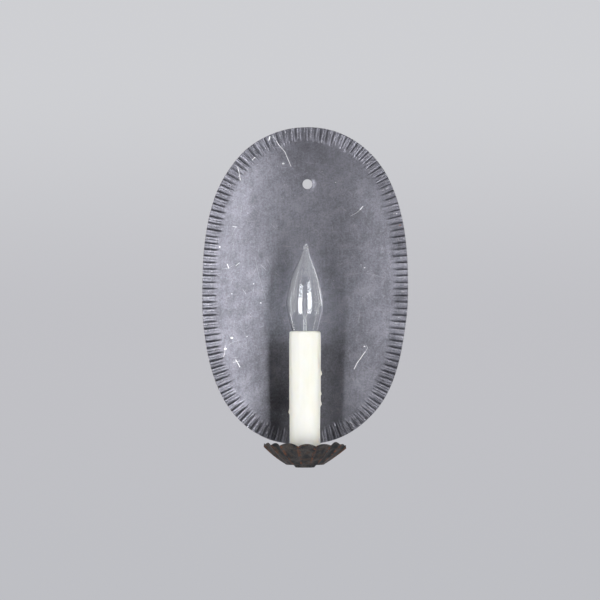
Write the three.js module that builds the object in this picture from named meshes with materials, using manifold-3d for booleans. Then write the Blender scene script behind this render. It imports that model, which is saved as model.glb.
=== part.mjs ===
// Electric candle sconce: an oval tin plate with a crimped rim, a folded tin arm, a fluted drip
// pan, and a candle sleeve round a small screw socket that holds a flame-shaped bulb.
//
// Millimetres, +Z up. The origin is the middle of the plate's flat rear face. The wall is the
// plane y = 0, the sconce stands out towards -Y, and +X is to the right of someone facing it.

import * as THREE from 'three';
import { mergeVertices } from 'three/addons/utils/BufferGeometryUtils.js';
import Module from 'manifold-3d';

const wasm = await Module();
wasm.setup();

// Clearances
const runningGap = 0.3; // beside pieces that move, and beside sloping or round faces
const wireGap = 0.2; // round a wire or rivet in its bore
const cutOverrun = 1; // how far a cutting tool runs past the face that it cuts

// Plate
const plateWidth = 181;
const plateHeight = 279;
const plateFullness = 2.37; // exponent of the oval: 2 is an ellipse, more is squarer
const plateSheet = 0.6;
const plateDish = 11; // how far the rim stands forward of the flat middle
const plateFlatShare = 0.12; // share of the way to the rim that stays flat
const plateRingShares = [0, 0.17, 0.34, 0.52, 0.72]; // rings of the dish, from the flat part's edge to the rim
const crimpCount = 128;
const crimpLength = 12;
const crimpDepth = 0.8;
const crimpFadeShare = 0.3; // share of a crimp's length over which it runs out
const hangingHoleDiameter = 8.6;
const hangingHoleBelowTop = 50.5;
const hangingHoleRight = 2.3;

// Arm
const armBelowRim = 16.2; // from the plate's lower edge down to the channel's open side
const armWidth = 20; // across the channel's open side
const armBaseWidth = 16; // across the channel's floor
const armDepth = 2.4;
const armSheet = 0.6;
const channelAboveRim = 27; // top of the channel over the plate's lower edge
const tabRiseLength = 4.5; // over which the tab steps forward from the channel's floor
const tabLength = 13; // flat stretch of the tab, along the plate
const plateRivetsAboveRim = 38;
const plateRivetSpacing = 10;
const plateRivetShank = 3;
const plateRivetHead = 5.6;
const plateRivetHeadHeight = 1;
const plateRivetTailHeight = 0.8;

// Drip pan
const candleStandoff = 66; // from the wall to the candle's axis
const panDiameter = 71.2;
const panFloorDiameter = 32.2;
const panRise = 15.9; // from the underside of the floor up to the tips of the flute ridges
const petalRise = 3.5; // how far the rim arches up between two ridges
const panSheet = 0.6;
const fluteCount = 16;
const fluteTurn = THREE.MathUtils.degToRad(-9.35); // first ridge, from straight ahead

// Candle sleeve
const sleeveTopDiameter = 26.5;
const sleeveBottomDiameter = 26;
const sleeveWall = 1.9;
const sleeveLength = 113.1;
const sleeveEdgeRadius = 1.6;

// Bulb
const bulbDiameter = 31.75;
const bulbLength = 105; // from the contact to the tip
const baseLength = 17; // from the contact to the rim of the brass base
const bulbSink = 13.7; // how far the rim of the base lies below the top of the sleeve
const glassWall = 0.6;
const tipShift = 1; // how far the tip leans to the right
const tipLeanShare = 0.5; // share of the glass height at which the lean starts
// Outline above the base, as shares of the bulb's radius and of the glass height over the base
const bulbOutlineShares = [
  [0.372, 0.014],
  [0.479, 0.053],
  [0.598, 0.102],
  [0.693, 0.156],
  [0.832, 0.248],
  [0.957, 0.341],
  [1.0, 0.434],
  [0.9, 0.558],
  [0.68, 0.712],
  [0.29, 0.867],
  [0.129, 0.959],
];
// Side of the rounded tip over the last outline point: share of its radius, share of the way up
const tipSideShares = [0.65, 0.65];
const neckDiameter = 9.4; // neck of the glass, inside the base
const neckDepth = 5.5; // how far the neck reaches into the base

// Bulb base and its thread
const threadDiameter = 11.89;
const threadPitch = 2.54;
const threadHeight = 0.5;
const baseBore = 10.2;
const baseCollarDiameter = 12.8;
const baseCollarHeight = 0.8;
const baseCollarWall = 0.3;
const baseShellLength = 12.6;
const baseCurlBore = 8.4; // the shell's lower edge is curled in to this bore
const baseCurlHeight = 0.4;
const insulatorFlange = 9.4;
const insulatorFlangeHeight = 1;
const insulatorNeck = 7.6;
const insulatorTip = 5.2;
const insulatorTipAboveContact = 2.4;
const contactButtonDiameter = 4.6;
const contactButtonTip = 2.4;
const contactButtonRound = 0.6;

// Inside of the bulb, heights over the rim of the base
const stemTopHeight = 24;
const stemTopDiameter = 3.2;
const stemMiddleHeight = 13;
const stemMiddleDiameter = 3.8;
const stemPressHeight = 4.5;
const stemPressDiameter = 5;
const stemWall = 0.6;
const stemTopRound = 0.6;
const wireDiameter = 0.44;
const wireSpacing = 1.5;
const wireTipHeight = 30;
const wireTipSpacing = 6;
const wireBendHeight = 1.2;
const filamentTopHeight = 42.2;
const filamentTopSpacing = 3.3;
const filamentDiameter = 0.5;
const supportDiameter = 0.3;

// Socket
const socketDiameter = 18.8;
const socketAboveBase = 2.4; // top of the socket body over the rim of the bulb's base
const socketFlat = 8.4; // from the axis to the flat where the leg lies
const socketFloor = 5;
const socketSkirt = 8;
const socketSkirtWall = 1.8;
const socketEdge = 0.5;
const threadClearance = 0.35; // between the threads of the bulb and the socket
const shellWall = 0.3;
const shellBelowRim = 2; // top of the socket's thread below the rim of the bulb's base
const threadedLength = 10;
const shellFlangeBore = 7;
const contactWell = 3.6; // from the bulb's contact down to the floor of the socket

// Contact tongue and the two rivets in the socket's floor
const tongueSheet = 0.35;
const tongueWidth = 2.8;
const tongueFootStart = -2.9;
const tongueFootEnd = -0.8;
const tongueTopStart = 0.1;
const tongueTopEnd = 1.2;
const tongueTipX = 2.5;
const tongueTipDrop = 1;
const contactRivetX = -2.1;
const shellRivetX = 4.9;
const socketRivetShank = 1.2;
const socketRivetHead = 1.8;
const socketRivetHeadHeight = 0.5;
const socketRivetTail = 2.4;
const socketRivetTailHeight = 0.7;

// Leg that carries the socket
const legSheet = 1.2;
const legWidth = 8;
const legFootLength = 10.5;
const legAboveScrew = 7;
const legRivetSpacing = 5.2;
const legRivetFromRiser = 5.2;
const legRivetShank = 2.2;
const legRivetHead = 4;
const legRivetHeadHeight = 0.8;
const legRivetTailHeight = 0.7;
const legScrewShank = 2.5;
const legScrewHead = 4.4;
const legScrewHeadHeight = 0.8;
const legScrewReach = 4.5;
const legScrewSlotWidth = 0.6;
const legScrewSlotDepth = 0.4;

// Leads and their bushings
const leadDiameter = 1.3;
const leadSpacing = 2.2;
const leadBendRadius = 4;
const wallBendRadius = 2.6;
const leadLift = 0.25; // between a lead and the channel's floor
const panLeadsBehindAxis = 5;
const bushingWall = 0.7;
const bushingLip = 0.8;
const bushingLipHeight = 0.6;
const panBushingReach = 3; // from the leads' drop to the bushing's rear wall, inside
const wallExitBelowChannelTop = 7.2;

// Places that follow from the sizes above
const plateBottom = -plateHeight / 2;
const panUnderside = plateBottom - armBelowRim;
const panFloorTop = panUnderside + panSheet;
const armUnderside = panUnderside - armDepth;
const armFloorTop = armUnderside + armSheet;
const channelTop = plateBottom + channelAboveRim;
const sleeveBottom = panFloorTop + runningGap;
const sleeveTop = sleeveBottom + sleeveLength;
const baseRim = sleeveTop - bulbSink;
const glassHeight = bulbLength - baseLength;
const socketTop = socketAboveBase;
const socketFloorTop = -baseLength - contactWell;
const socketFloorBottom = socketFloorTop - socketFloor;
const socketBottom = socketFloorBottom - socketSkirt;
const threadMeanRadius = threadDiameter / 2 - threadHeight / 2;
const shellThreadRadius = threadMeanRadius + threadClearance;
const shellOuterRadius = shellThreadRadius + threadHeight / 2 + shellWall;
const hangingHoleHeight = plateHeight / 2 - hangingHoleBelowTop;
const plateRivetHeight = plateBottom + plateRivetsAboveRim;

// Finishes
const tin = () => new THREE.MeshStandardMaterial({ color: 0x8b8c93, roughness: 0.5, metalness: 0.7 });
const darkTin = () => new THREE.MeshStandardMaterial({ color: 0x3d3836, roughness: 0.6, metalness: 0.5 });
const ivory = () => new THREE.MeshStandardMaterial({ color: 0xf3f2e6, roughness: 0.5, metalness: 0 });
const steel = () => new THREE.MeshStandardMaterial({ color: 0x9a9c9e, roughness: 0.4, metalness: 0.8 });
const brass = () => new THREE.MeshStandardMaterial({ color: 0xc2a05a, roughness: 0.35, metalness: 0.9 });
const phenolic = () => new THREE.MeshStandardMaterial({ color: 0x2b2320, roughness: 0.5, metalness: 0 });
const fibre = () => new THREE.MeshStandardMaterial({ color: 0x26262a, roughness: 0.8, metalness: 0 });
const solder = () => new THREE.MeshStandardMaterial({ color: 0xb9bbbd, roughness: 0.4, metalness: 0.8 });
const filamentWire = () => new THREE.MeshStandardMaterial({ color: 0x4c4a4a, roughness: 0.5, metalness: 0.8 });
const leadCover = (color) => new THREE.MeshStandardMaterial({ color, roughness: 0.6, metalness: 0 });
const clearGlass = () => new THREE.MeshStandardMaterial({
  color: 0xf4f8fa,
  roughness: 0.05,
  metalness: 0,
  transparent: true,
  opacity: 0.35,
});
const blackColour = 0x1c1c1e;
const whiteColour = 0xe8e6e0;

// Six times the volume inside a mesh, less than zero where its faces point inward
function signedVolume(positions, triangles) {
  const corner = (index) => new THREE.Vector3().fromArray(positions, index * 3);
  let total = 0;
  for (let i = 0; i < triangles.length; i += 3) {
    const [a, b, c] = [0, 1, 2].map((k) => corner(triangles[i + k]));
    total += a.dot(b.cross(c));
  }
  return total;
}

// The same mesh with shared corners, without empty triangles, and with its faces pointing out
function tidyMesh(geometry) {
  const bare = geometry.clone();
  bare.deleteAttribute('normal');
  bare.deleteAttribute('uv');
  const merged = mergeVertices(bare);
  const source = merged.index.array;
  const triangles = [];
  for (let i = 0; i < source.length; i += 3) {
    const [a, b, c] = source.slice(i, i + 3);
    if (a !== b && b !== c && c !== a) triangles.push(a, b, c);
  }
  if (signedVolume(merged.attributes.position.array, triangles) < 0) triangles.reverse();
  merged.setIndex(triangles);
  merged.computeVertexNormals();
  return merged;
}

function toSolid(geometry) {
  const tidy = tidyMesh(geometry);
  return new wasm.Manifold(new wasm.Mesh({
    numProp: 3,
    vertProperties: tidy.attributes.position.array,
    triVerts: Uint32Array.from(tidy.index.array),
  }));
}

function toGeometry(solid) {
  const mesh = solid.getMesh();
  const geometry = new THREE.BufferGeometry();
  geometry.setAttribute('position', new THREE.Float32BufferAttribute(mesh.vertProperties, 3));
  geometry.setIndex(Array.from(mesh.triVerts));
  return geometry;
}

function cut(geometry, ...tools) {
  return toGeometry(tools.reduce((left, tool) => left.subtract(toSolid(tool)), toSolid(geometry)));
}

function join(geometry, ...others) {
  return toGeometry(others.reduce((left, other) => left.add(toSolid(other)), toSolid(geometry)));
}

// Triangles between two neighbouring rings, which may differ in their number of points
function stitch(triangles, first, second) {
  const firstSteps = first.count > 1 ? first.count : 0;
  const secondSteps = second.count > 1 ? second.count : 0;
  let i = 0;
  let j = 0;
  while (i < firstSteps || j < secondSteps) {
    const onFirst = first.start + (i % first.count);
    const onSecond = second.start + (j % second.count);
    const firstIsBehind = i < firstSteps && (i + 1) * secondSteps <= (j + 1) * firstSteps;
    if (firstIsBehind || j >= secondSteps) {
      triangles.push(onFirst, first.start + ((i + 1) % first.count), onSecond);
      i += 1;
    } else {
      triangles.push(onFirst, second.start + ((j + 1) % second.count), onSecond);
      j += 1;
    }
  }
}

// A closed body from rings of points. A ring of one point is a pole. The rings start and end at a
// pole, or run on from the last to the first again.
function skin(rings, runsOn = false) {
  const positions = [];
  const spans = rings.map((ring) => {
    const span = { start: positions.length / 3, count: ring.length };
    ring.forEach((point) => positions.push(point.x, point.y, point.z));
    return span;
  });
  const triangles = [];
  for (let i = 1; i < spans.length; i += 1) stitch(triangles, spans[i - 1], spans[i]);
  if (runsOn) stitch(triangles, spans.at(-1), spans[0]);
  const geometry = new THREE.BufferGeometry();
  geometry.setAttribute('position', new THREE.Float32BufferAttribute(positions, 3));
  geometry.setIndex(triangles);
  return geometry;
}

// A turned body about Z from [radius, height] points, which close on themselves unless both ends
// lie on the axis
function turned(outline, steps = 24) {
  const points = outline.map(([radius, height]) => new THREE.Vector2(radius, height));
  const closes = outline[0][0] > 0;
  if (closes) points.push(points[0].clone());
  return new THREE.LatheGeometry(points, steps).rotateX(Math.PI / 2);
}

function rod(radius, from, to, steps = 16) {
  const line = new THREE.Vector3().subVectors(to, from);
  const geometry = new THREE.CylinderGeometry(radius, radius, line.length(), steps);
  const up = new THREE.Vector3(0, 1, 0);
  const turn = new THREE.Quaternion().setFromUnitVectors(up, line.clone().normalize());
  return geometry.applyQuaternion(turn).translate(...from.clone().add(to).divideScalar(2));
}

// Outline of a bent strip of sheet that follows a line of [along, up] points
function strip(line, sheet) {
  const points = line.map(([along, up]) => new THREE.Vector2(along, up));
  const heading = (i) => points[i + 1].clone().sub(points[i]).normalize();
  const sides = points.map((point, i) => {
    const before = i > 0 ? heading(i - 1) : heading(i);
    const after = i < points.length - 1 ? heading(i) : before;
    const mean = before.clone().add(after).normalize();
    const reach = sheet / 2 / mean.dot(after);
    const across = new THREE.Vector2(-mean.y, mean.x).multiplyScalar(reach);
    return [point.clone().add(across), point.clone().sub(across)];
  });
  const left = sides.map(([side]) => side);
  const right = sides.map(([, side]) => side).reverse();
  return new THREE.Shape([...left, ...right]);
}

// A bent strip that is drawn from the side, in Y and Z, and is as wide as given across X
function sideStrip(line, sheet, width) {
  const geometry = new THREE.ExtrudeGeometry(strip(line, sheet), { depth: width, bevelEnabled: false });
  const toSideView = new THREE.Matrix4().makeBasis(
    new THREE.Vector3(0, 1, 0),
    new THREE.Vector3(0, 0, 1),
    new THREE.Vector3(1, 0, 0),
  );
  return geometry.applyMatrix4(toSideView).translate(-width / 2, 0, 0);
}

function round(radius, sides) {
  const corners = Array.from({ length: sides }, (_, i) => {
    const turn = (2 * Math.PI * i) / sides;
    return new THREE.Vector2(radius * Math.cos(turn), radius * Math.sin(turn));
  });
  return new THREE.Shape(corners);
}

function wire(points, diameter, steps, sides = 8) {
  const path = new THREE.CatmullRomCurve3(points, false, 'centripetal');
  return new THREE.ExtrudeGeometry(round(diameter / 2, sides), { steps, extrudePath: path });
}

// A rivet along Z: a domed head above zero, the shank below it, and a flat tail
function rivet(shank, head, headHeight, grip, tail, tailHeight) {
  return turned([
    [0, headHeight],
    [head / 4, headHeight],
    [head / 2, headHeight / 2],
    [head / 2, 0],
    [shank / 2, 0],
    [shank / 2, -grip],
    [tail / 2, -grip],
    [tail / 2, -grip - tailHeight],
    [0, -grip - tailHeight],
  ], 12);
}

const sconce = new THREE.Group();
const candle = new THREE.Group();
const bulb = new THREE.Group();
candle.position.set(0, -candleStandoff, 0);
bulb.position.set(0, 0, baseRim);
candle.add(bulb);
sconce.add(candle);

function place(group, name, geometry, material) {
  const mesh = new THREE.Mesh(tidyMesh(geometry), material);
  mesh.name = name;
  group.add(mesh);
  return mesh;
}

// Plate

// The rim seen from the front, at equal steps of its own length
class RimCurve extends THREE.Curve {
  getPoint(share, target = new THREE.Vector2()) {
    const turn = 2 * Math.PI * share;
    const across = Math.abs(Math.cos(turn)) / (plateWidth / 2);
    const up = Math.abs(Math.sin(turn)) / (plateHeight / 2);
    const radius = (across ** plateFullness + up ** plateFullness) ** (-1 / plateFullness);
    return target.set(radius * Math.cos(turn), radius * Math.sin(turn));
  }
}
const rimCurve = new RimCurve();
rimCurve.arcLengthDivisions = 8 * crimpCount;

// How far the plate's sheet stands forward at a place on it
function dishDepth(x, z) {
  const across = Math.abs(x) / (plateWidth / 2);
  const up = Math.abs(z) / (plateHeight / 2);
  const outward = (across ** plateFullness + up ** plateFullness) ** (1 / plateFullness);
  const rise = Math.max(0, outward - plateFlatShare) / (1 - plateFlatShare);
  return plateDish * rise ** 2;
}

// Corners of one crimped ring: every second one is pressed back towards the wall
function crimpRing(inset, depth, sheet) {
  const steps = 2 * crimpCount;
  return Array.from({ length: steps }, (_, i) => {
    const edge = rimCurve.getPointAt(i / steps);
    const along = rimCurve.getTangentAt(i / steps);
    const x = edge.x - along.y * inset;
    const z = edge.y + along.x * inset;
    const pressed = i % 2 === 1 ? depth : 0;
    return new THREE.Vector3(x, pressed - dishDepth(x, z) - sheet, z);
  });
}

function dishRing(share, sheet) {
  const steps = crimpCount / 2;
  return Array.from({ length: steps }, (_, i) => {
    const edge = rimCurve.getPointAt(i / steps).multiplyScalar(share);
    return new THREE.Vector3(edge.x, -dishDepth(edge.x, edge.y) - sheet, edge.y);
  });
}

// One face of the plate from its middle out to its edge
function plateFace(sheet) {
  return [
    [new THREE.Vector3(0, -sheet, 0)],
    ...plateRingShares.map((share) => dishRing(THREE.MathUtils.lerp(plateFlatShare, 1, share), sheet)),
    crimpRing(crimpLength, 0, sheet),
    crimpRing(crimpLength * (1 - crimpFadeShare), crimpDepth, sheet),
    crimpRing(0, crimpDepth, sheet),
  ];
}

const plateRivetPlaces = [-1, 1].map((side) => {
  const x = (side * plateRivetSpacing) / 2;
  return new THREE.Vector3(x, -dishDepth(x, plateRivetHeight), plateRivetHeight);
});
const slopeStep = plateHeight / 1000;
const plateSlope = Math.atan2(
  dishDepth(0, plateRivetHeight - slopeStep) - dishDepth(0, plateRivetHeight + slopeStep),
  2 * slopeStep,
);
// Square to the plate at the rivets, towards the room
const rivetAxis = new THREE.Vector3(0, -Math.cos(plateSlope), Math.sin(plateSlope));
const rivetDrillLength = plateDish + plateRivetHead;

function rivetDrill(centre, diameter) {
  const reach = rivetAxis.clone().multiplyScalar(rivetDrillLength);
  return rod(diameter / 2, centre.clone().sub(reach), centre.clone().add(reach));
}

function makePlate() {
  const blank = skin([...plateFace(plateSheet), ...plateFace(0).reverse()]);
  const hangingHole = rod(
    hangingHoleDiameter / 2,
    new THREE.Vector3(hangingHoleRight, cutOverrun, hangingHoleHeight),
    new THREE.Vector3(hangingHoleRight, -plateDish - cutOverrun, hangingHoleHeight),
    24,
  );
  const rivetHole = plateRivetShank + 2 * wireGap;
  return cut(blank, hangingHole, ...plateRivetPlaces.map((centre) => rivetDrill(centre, rivetHole)));
}
place(sconce, 'back_plate', makePlate(), tin());

// Arm

// A block with sloping sides between a wide top and a narrow bottom. Its front end is half round
// about the origin and its rear end is square, at the given distance.
function taperedBlock(topWidth, topHeight, bottomWidth, bottomHeight, rear) {
  const roundSteps = 10;
  const ring = (width, height) => {
    const front = Array.from({ length: roundSteps + 1 }, (_, i) => {
      const turn = Math.PI + (Math.PI * i) / roundSteps;
      return new THREE.Vector3((width / 2) * Math.cos(turn), (width / 2) * Math.sin(turn), height);
    });
    const rearRight = new THREE.Vector3(width / 2, rear, height);
    const rearLeft = new THREE.Vector3(-width / 2, rear, height);
    return [...front, rearRight, rearLeft];
  };
  return skin([
    [new THREE.Vector3(0, 0, topHeight)],
    ring(topWidth, topHeight),
    ring(bottomWidth, bottomHeight),
    [new THREE.Vector3(0, 0, bottomHeight)],
  ]);
}

// A block with the same sloping sides and two square ends, for the upright part
function uprightBlock(frontWidth, frontY, rearWidth, rearY, low, high) {
  const ring = (height) => [
    new THREE.Vector3(-frontWidth / 2, frontY, height),
    new THREE.Vector3(frontWidth / 2, frontY, height),
    new THREE.Vector3(rearWidth / 2, rearY, height),
    new THREE.Vector3(-rearWidth / 2, rearY, height),
  ];
  const middleY = (frontY + rearY) / 2;
  return skin([
    [new THREE.Vector3(0, middleY, low)],
    ring(low),
    ring(high),
    [new THREE.Vector3(0, middleY, high)],
  ]);
}

const wallExitHeight = channelTop - wallExitBelowChannelTop;
const wallBushingBore = leadSpacing + leadDiameter + 2 * runningGap;
const wallBushingDiameter = wallBushingBore + 2 * bushingWall;

// The tab leaves the channel's floor, steps forward, and lies along the back of the plate
function makeTab() {
  const along = new THREE.Vector2(Math.sin(plateSlope), Math.cos(plateSlope));
  const middle = new THREE.Vector2(-dishDepth(0, plateRivetHeight), plateRivetHeight);
  middle.x += (runningGap + armSheet / 2) / Math.cos(plateSlope);
  const low = middle.clone().addScaledVector(along, -tabLength / 2);
  const high = middle.clone().addScaledVector(along, tabLength / 2);
  const line = [
    [-armSheet / 2, channelTop - armWidth / 2],
    [-armSheet / 2, low.y - tabRiseLength],
    [low.x, low.y],
    [high.x, high.y],
  ];
  return sideStrip(line, armSheet, armBaseWidth);
}

function makeArm() {
  const sideSlope = (armWidth - armBaseWidth) / 2 / armDepth;
  const innerTop = armWidth - 2 * armSheet;
  const innerBase = armBaseWidth - 2 * armSheet + 2 * sideSlope * armSheet;
  const level = taperedBlock(armWidth, panUnderside, armBaseWidth, armUnderside, candleStandoff);
  const levelHollow = join(
    taperedBlock(innerTop, panUnderside, innerBase, armFloorTop, candleStandoff - armSheet),
    taperedBlock(innerTop, panUnderside + armSheet, innerTop, panUnderside, candleStandoff - armDepth),
  );
  const upright = uprightBlock(armWidth, -armDepth, armBaseWidth, 0, armUnderside, channelTop);
  const uprightHollow = uprightBlock(
    innerTop + 2 * sideSlope * cutOverrun,
    -armDepth - cutOverrun,
    innerBase,
    -armSheet,
    armFloorTop,
    channelTop + cutOverrun,
  );
  const toCandle = (geometry) => geometry.translate(0, -candleStandoff, 0);
  const channel = cut(join(toCandle(level), upright), toCandle(levelHollow), uprightHollow);
  const wallHole = rod(
    wallBushingDiameter / 2 + wireGap,
    new THREE.Vector3(0, -armSheet - cutOverrun, wallExitHeight),
    new THREE.Vector3(0, cutOverrun, wallExitHeight),
    20,
  );
  const rivetHole = plateRivetShank + 2 * wireGap;
  const rivetHoles = plateRivetPlaces.map((centre) => rivetDrill(centre, rivetHole));
  return cut(join(channel, makeTab()), wallHole, ...rivetHoles);
}
place(sconce, 'arm', makeArm(), darkTin());

// Rivets through the plate and the tab, heads to the room
['left', 'right'].forEach((side, i) => {
  const grip = plateSheet + armSheet + 3 * runningGap;
  const tail = plateRivetHead - 2 * wireGap;
  const geometry = rivet(
    plateRivetShank,
    plateRivetHead,
    plateRivetHeadHeight,
    grip,
    tail,
    plateRivetTailHeight,
  );
  const turn = new THREE.Quaternion().setFromUnitVectors(new THREE.Vector3(0, 0, 1), rivetAxis);
  const seat = plateRivetPlaces[i].clone().addScaledVector(rivetAxis, plateSheet + runningGap);
  const mesh = place(sconce, `arm_rivet_${side}`, geometry, steel());
  mesh.quaternion.copy(turn);
  mesh.position.copy(seat);
});

// Drip pan

const leadHalfSpread = leadSpacing / 2 + leadDiameter / 2;
const panBushingFront = panLeadsBehindAxis - leadDiameter / 2 - runningGap;
const panBushingRear = panLeadsBehindAxis + panBushingReach;
const panBushingHalfWidth = leadHalfSpread + runningGap;

// An upright block with cut corners over a rectangle that is grown by a margin
function slotBlock(margin, low, high) {
  const left = -panBushingHalfWidth - margin;
  const right = panBushingHalfWidth + margin;
  const front = panBushingFront - margin;
  const rear = panBushingRear + margin;
  const corner = (leadDiameter + margin) / 2;
  const outline = new THREE.Shape([
    new THREE.Vector2(left + corner, front),
    new THREE.Vector2(right - corner, front),
    new THREE.Vector2(right, front + corner),
    new THREE.Vector2(right, rear - corner),
    new THREE.Vector2(right - corner, rear),
    new THREE.Vector2(left + corner, rear),
    new THREE.Vector2(left, rear - corner),
    new THREE.Vector2(left, front + corner),
  ]);
  const block = new THREE.ExtrudeGeometry(outline, { depth: high - low, bevelEnabled: false });
  return block.translate(0, 0, low);
}

// One ring of the fluted wall. Between two ridges the sheet arches up.
function fluteRing(share, lift) {
  const stepsPerFlute = 6;
  const steps = fluteCount * stepsPerFlute;
  const radius = THREE.MathUtils.lerp(panFloorDiameter / 2, panDiameter / 2, share);
  return Array.from({ length: steps }, (_, i) => {
    const turn = (2 * Math.PI * i) / steps + fluteTurn - Math.PI / 2;
    const fromMiddle = Math.abs((2 * (i % stepsPerFlute)) / stepsPerFlute - 1);
    const arch = petalRise * share * (1 - fromMiddle ** 2);
    const height = panUnderside + panRise * share + arch + lift;
    return new THREE.Vector3(radius * Math.cos(turn), radius * Math.sin(turn), height);
  });
}

const legRiserX = socketFlat + runningGap + legSheet / 2; // from the axis to the riser's middle
const legRivetY = -legRiserX + legRivetFromRiser;

function makePan() {
  const wallShares = [0, 0.33, 0.67, 1];
  const wallRun = (panDiameter - panFloorDiameter) / 2;
  const sheetUpright = panSheet * Math.hypot(1, panRise / wallRun);
  const lift = (share) => (share > 0 ? sheetUpright : panSheet);
  const blank = skin([
    [new THREE.Vector3(0, 0, panUnderside)],
    ...wallShares.map((share) => fluteRing(share, 0)),
    ...wallShares.map((share) => fluteRing(share, lift(share))).reverse(),
    [new THREE.Vector3(0, 0, panFloorTop)],
  ]);
  const low = panUnderside - cutOverrun;
  const high = panFloorTop + cutOverrun;
  const rivetHoles = [-1, 1].map((side) => {
    const x = (side * legRivetSpacing) / 2;
    const bottom = new THREE.Vector3(x, legRivetY, low);
    const top = new THREE.Vector3(x, legRivetY, high);
    return rod(legRivetShank / 2 + wireGap, bottom, top);
  });
  return cut(blank, slotBlock(bushingWall + runningGap, low, high), ...rivetHoles);
}
place(candle, 'drip_pan', makePan(), darkTin());

function makePanBushing() {
  const sleeve = slotBlock(bushingWall, panUnderside, panFloorTop + bushingLipHeight);
  const lip = slotBlock(bushingWall + bushingLip, panFloorTop, panFloorTop + bushingLipHeight);
  const bore = slotBlock(0, panUnderside - cutOverrun, panFloorTop + bushingLipHeight + cutOverrun);
  return cut(join(sleeve, lip), bore);
}
place(candle, 'pan_bushing', makePanBushing(), fibre());

function makeArmBushing() {
  const lipFace = -armSheet - bushingLipHeight;
  const outline = [
    [wallBushingBore / 2, 0],
    [wallBushingDiameter / 2, 0],
    [wallBushingDiameter / 2, armSheet],
    [wallBushingDiameter / 2 + bushingLip, armSheet],
    [wallBushingDiameter / 2 + bushingLip, -lipFace],
    [wallBushingBore / 2, -lipFace],
  ];
  return turned(outline, 20).rotateX(Math.PI / 2).translate(0, 0, wallExitHeight);
}
place(sconce, 'arm_bushing', makeArmBushing(), fibre());

// Leg and its fastenings

const legScrewHeight = baseRim + (socketFloorTop + socketFloorBottom) / 2;
const legTop = legScrewHeight + legAboveScrew;

function makeLeg() {
  const line = [
    [legFootLength - legRiserX, panFloorTop + legSheet / 2],
    [-legRiserX, panFloorTop + legSheet / 2],
    [-legRiserX, legTop],
  ];
  const blank = sideStrip(line, legSheet, legWidth);
  const footTop = panFloorTop + legSheet;
  const rivetHoles = [-1, 1].map((side) => {
    const x = (side * legRivetSpacing) / 2;
    const bottom = new THREE.Vector3(x, legRivetY, panFloorTop - cutOverrun);
    const top = new THREE.Vector3(x, legRivetY, footTop + cutOverrun);
    return rod(legRivetShank / 2 + wireGap, bottom, top);
  });
  const front = new THREE.Vector3(0, -legRiserX - legSheet / 2 - cutOverrun, legScrewHeight);
  const rear = new THREE.Vector3(0, -legRiserX + legSheet / 2 + cutOverrun, legScrewHeight);
  return cut(blank, ...rivetHoles, rod(legScrewShank / 2 + wireGap, front, rear));
}
place(candle, 'socket_leg', makeLeg(), steel());

['left', 'right'].forEach((side, i) => {
  const grip = legSheet + panSheet;
  const tail = legRivetHead - wireGap;
  const geometry = rivet(legRivetShank, legRivetHead, legRivetHeadHeight, grip, tail, legRivetTailHeight);
  const x = (i - 1 / 2) * legRivetSpacing;
  geometry.translate(x, legRivetY, panFloorTop + legSheet);
  place(candle, `leg_rivet_${side}`, geometry, steel());
});

// Screw along Z with its head above zero, a driver slot across the head
function makeLegScrew() {
  const blank = turned([
    [0, legScrewHeadHeight],
    [legScrewHead / 2, legScrewHeadHeight],
    [legScrewHead / 2, 0],
    [legScrewShank / 2, 0],
    [legScrewShank / 2, -legSheet - runningGap - legScrewReach],
    [0, -legSheet - runningGap - legScrewReach],
  ], 20);
  const slotHeight = legScrewSlotDepth + cutOverrun;
  const slot = new THREE.BoxGeometry(legScrewHead + 2 * cutOverrun, legScrewSlotWidth, slotHeight);
  slot.translate(0, 0, legScrewHeadHeight - legScrewSlotDepth + slotHeight / 2);
  return cut(blank, slot).rotateX(Math.PI / 2).translate(0, -legRiserX - legSheet / 2, legScrewHeight);
}
place(candle, 'leg_screw', makeLegScrew(), steel());

// Socket, with heights over the rim of the bulb's base

function makeSocketBody() {
  const radius = socketDiameter / 2;
  const bore = shellOuterRadius + runningGap;
  const skirtBore = radius - socketSkirtWall;
  const blank = turned([
    [0, socketFloorBottom],
    [skirtBore, socketFloorBottom],
    [skirtBore, socketBottom],
    [radius, socketBottom],
    [radius, socketTop - socketEdge],
    [radius - socketEdge, socketTop],
    [bore, socketTop],
    [bore, socketFloorTop],
    [0, socketFloorTop],
  ], 28);
  const height = socketTop - socketBottom + 2 * cutOverrun;
  const flat = new THREE.BoxGeometry(socketDiameter, radius, height);
  flat.translate(0, -socketFlat - radius / 2, (socketTop + socketBottom) / 2);
  const rivetHoles = [contactRivetX, shellRivetX].map((x) => rod(
    socketRivetShank / 2 + wireGap,
    new THREE.Vector3(x, 0, socketFloorBottom - cutOverrun),
    new THREE.Vector3(x, 0, socketFloorTop + cutOverrun),
    12,
  ));
  const screwZ = legScrewHeight - baseRim;
  const screwHole = rod(
    legScrewShank / 2 + wireGap,
    new THREE.Vector3(0, -radius - cutOverrun, screwZ),
    new THREE.Vector3(0, -socketFlat + legScrewReach + runningGap, screwZ),
    16,
  );
  return cut(blank, flat, ...rivetHoles, screwHole);
}
place(candle, 'socket_body', makeSocketBody().translate(0, 0, baseRim), phenolic());

// A right-handed thread: the radius swings about its mean once for each pitch
function threadRadius(mean, height, turn) {
  return mean + (threadHeight / 2) * Math.cos((2 * Math.PI * height) / threadPitch - turn);
}

// Rings of a turned body, given as { radius, height, threaded } points
function threadRings(outline) {
  const steps = 20;
  return outline.map(({ radius, height, threaded }) => Array.from({ length: steps }, (_, i) => {
    const turn = (2 * Math.PI * i) / steps;
    const reach = threaded ? threadRadius(radius, height, turn) : radius;
    return new THREE.Vector3(reach * Math.cos(turn), reach * Math.sin(turn), height);
  }));
}

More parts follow.
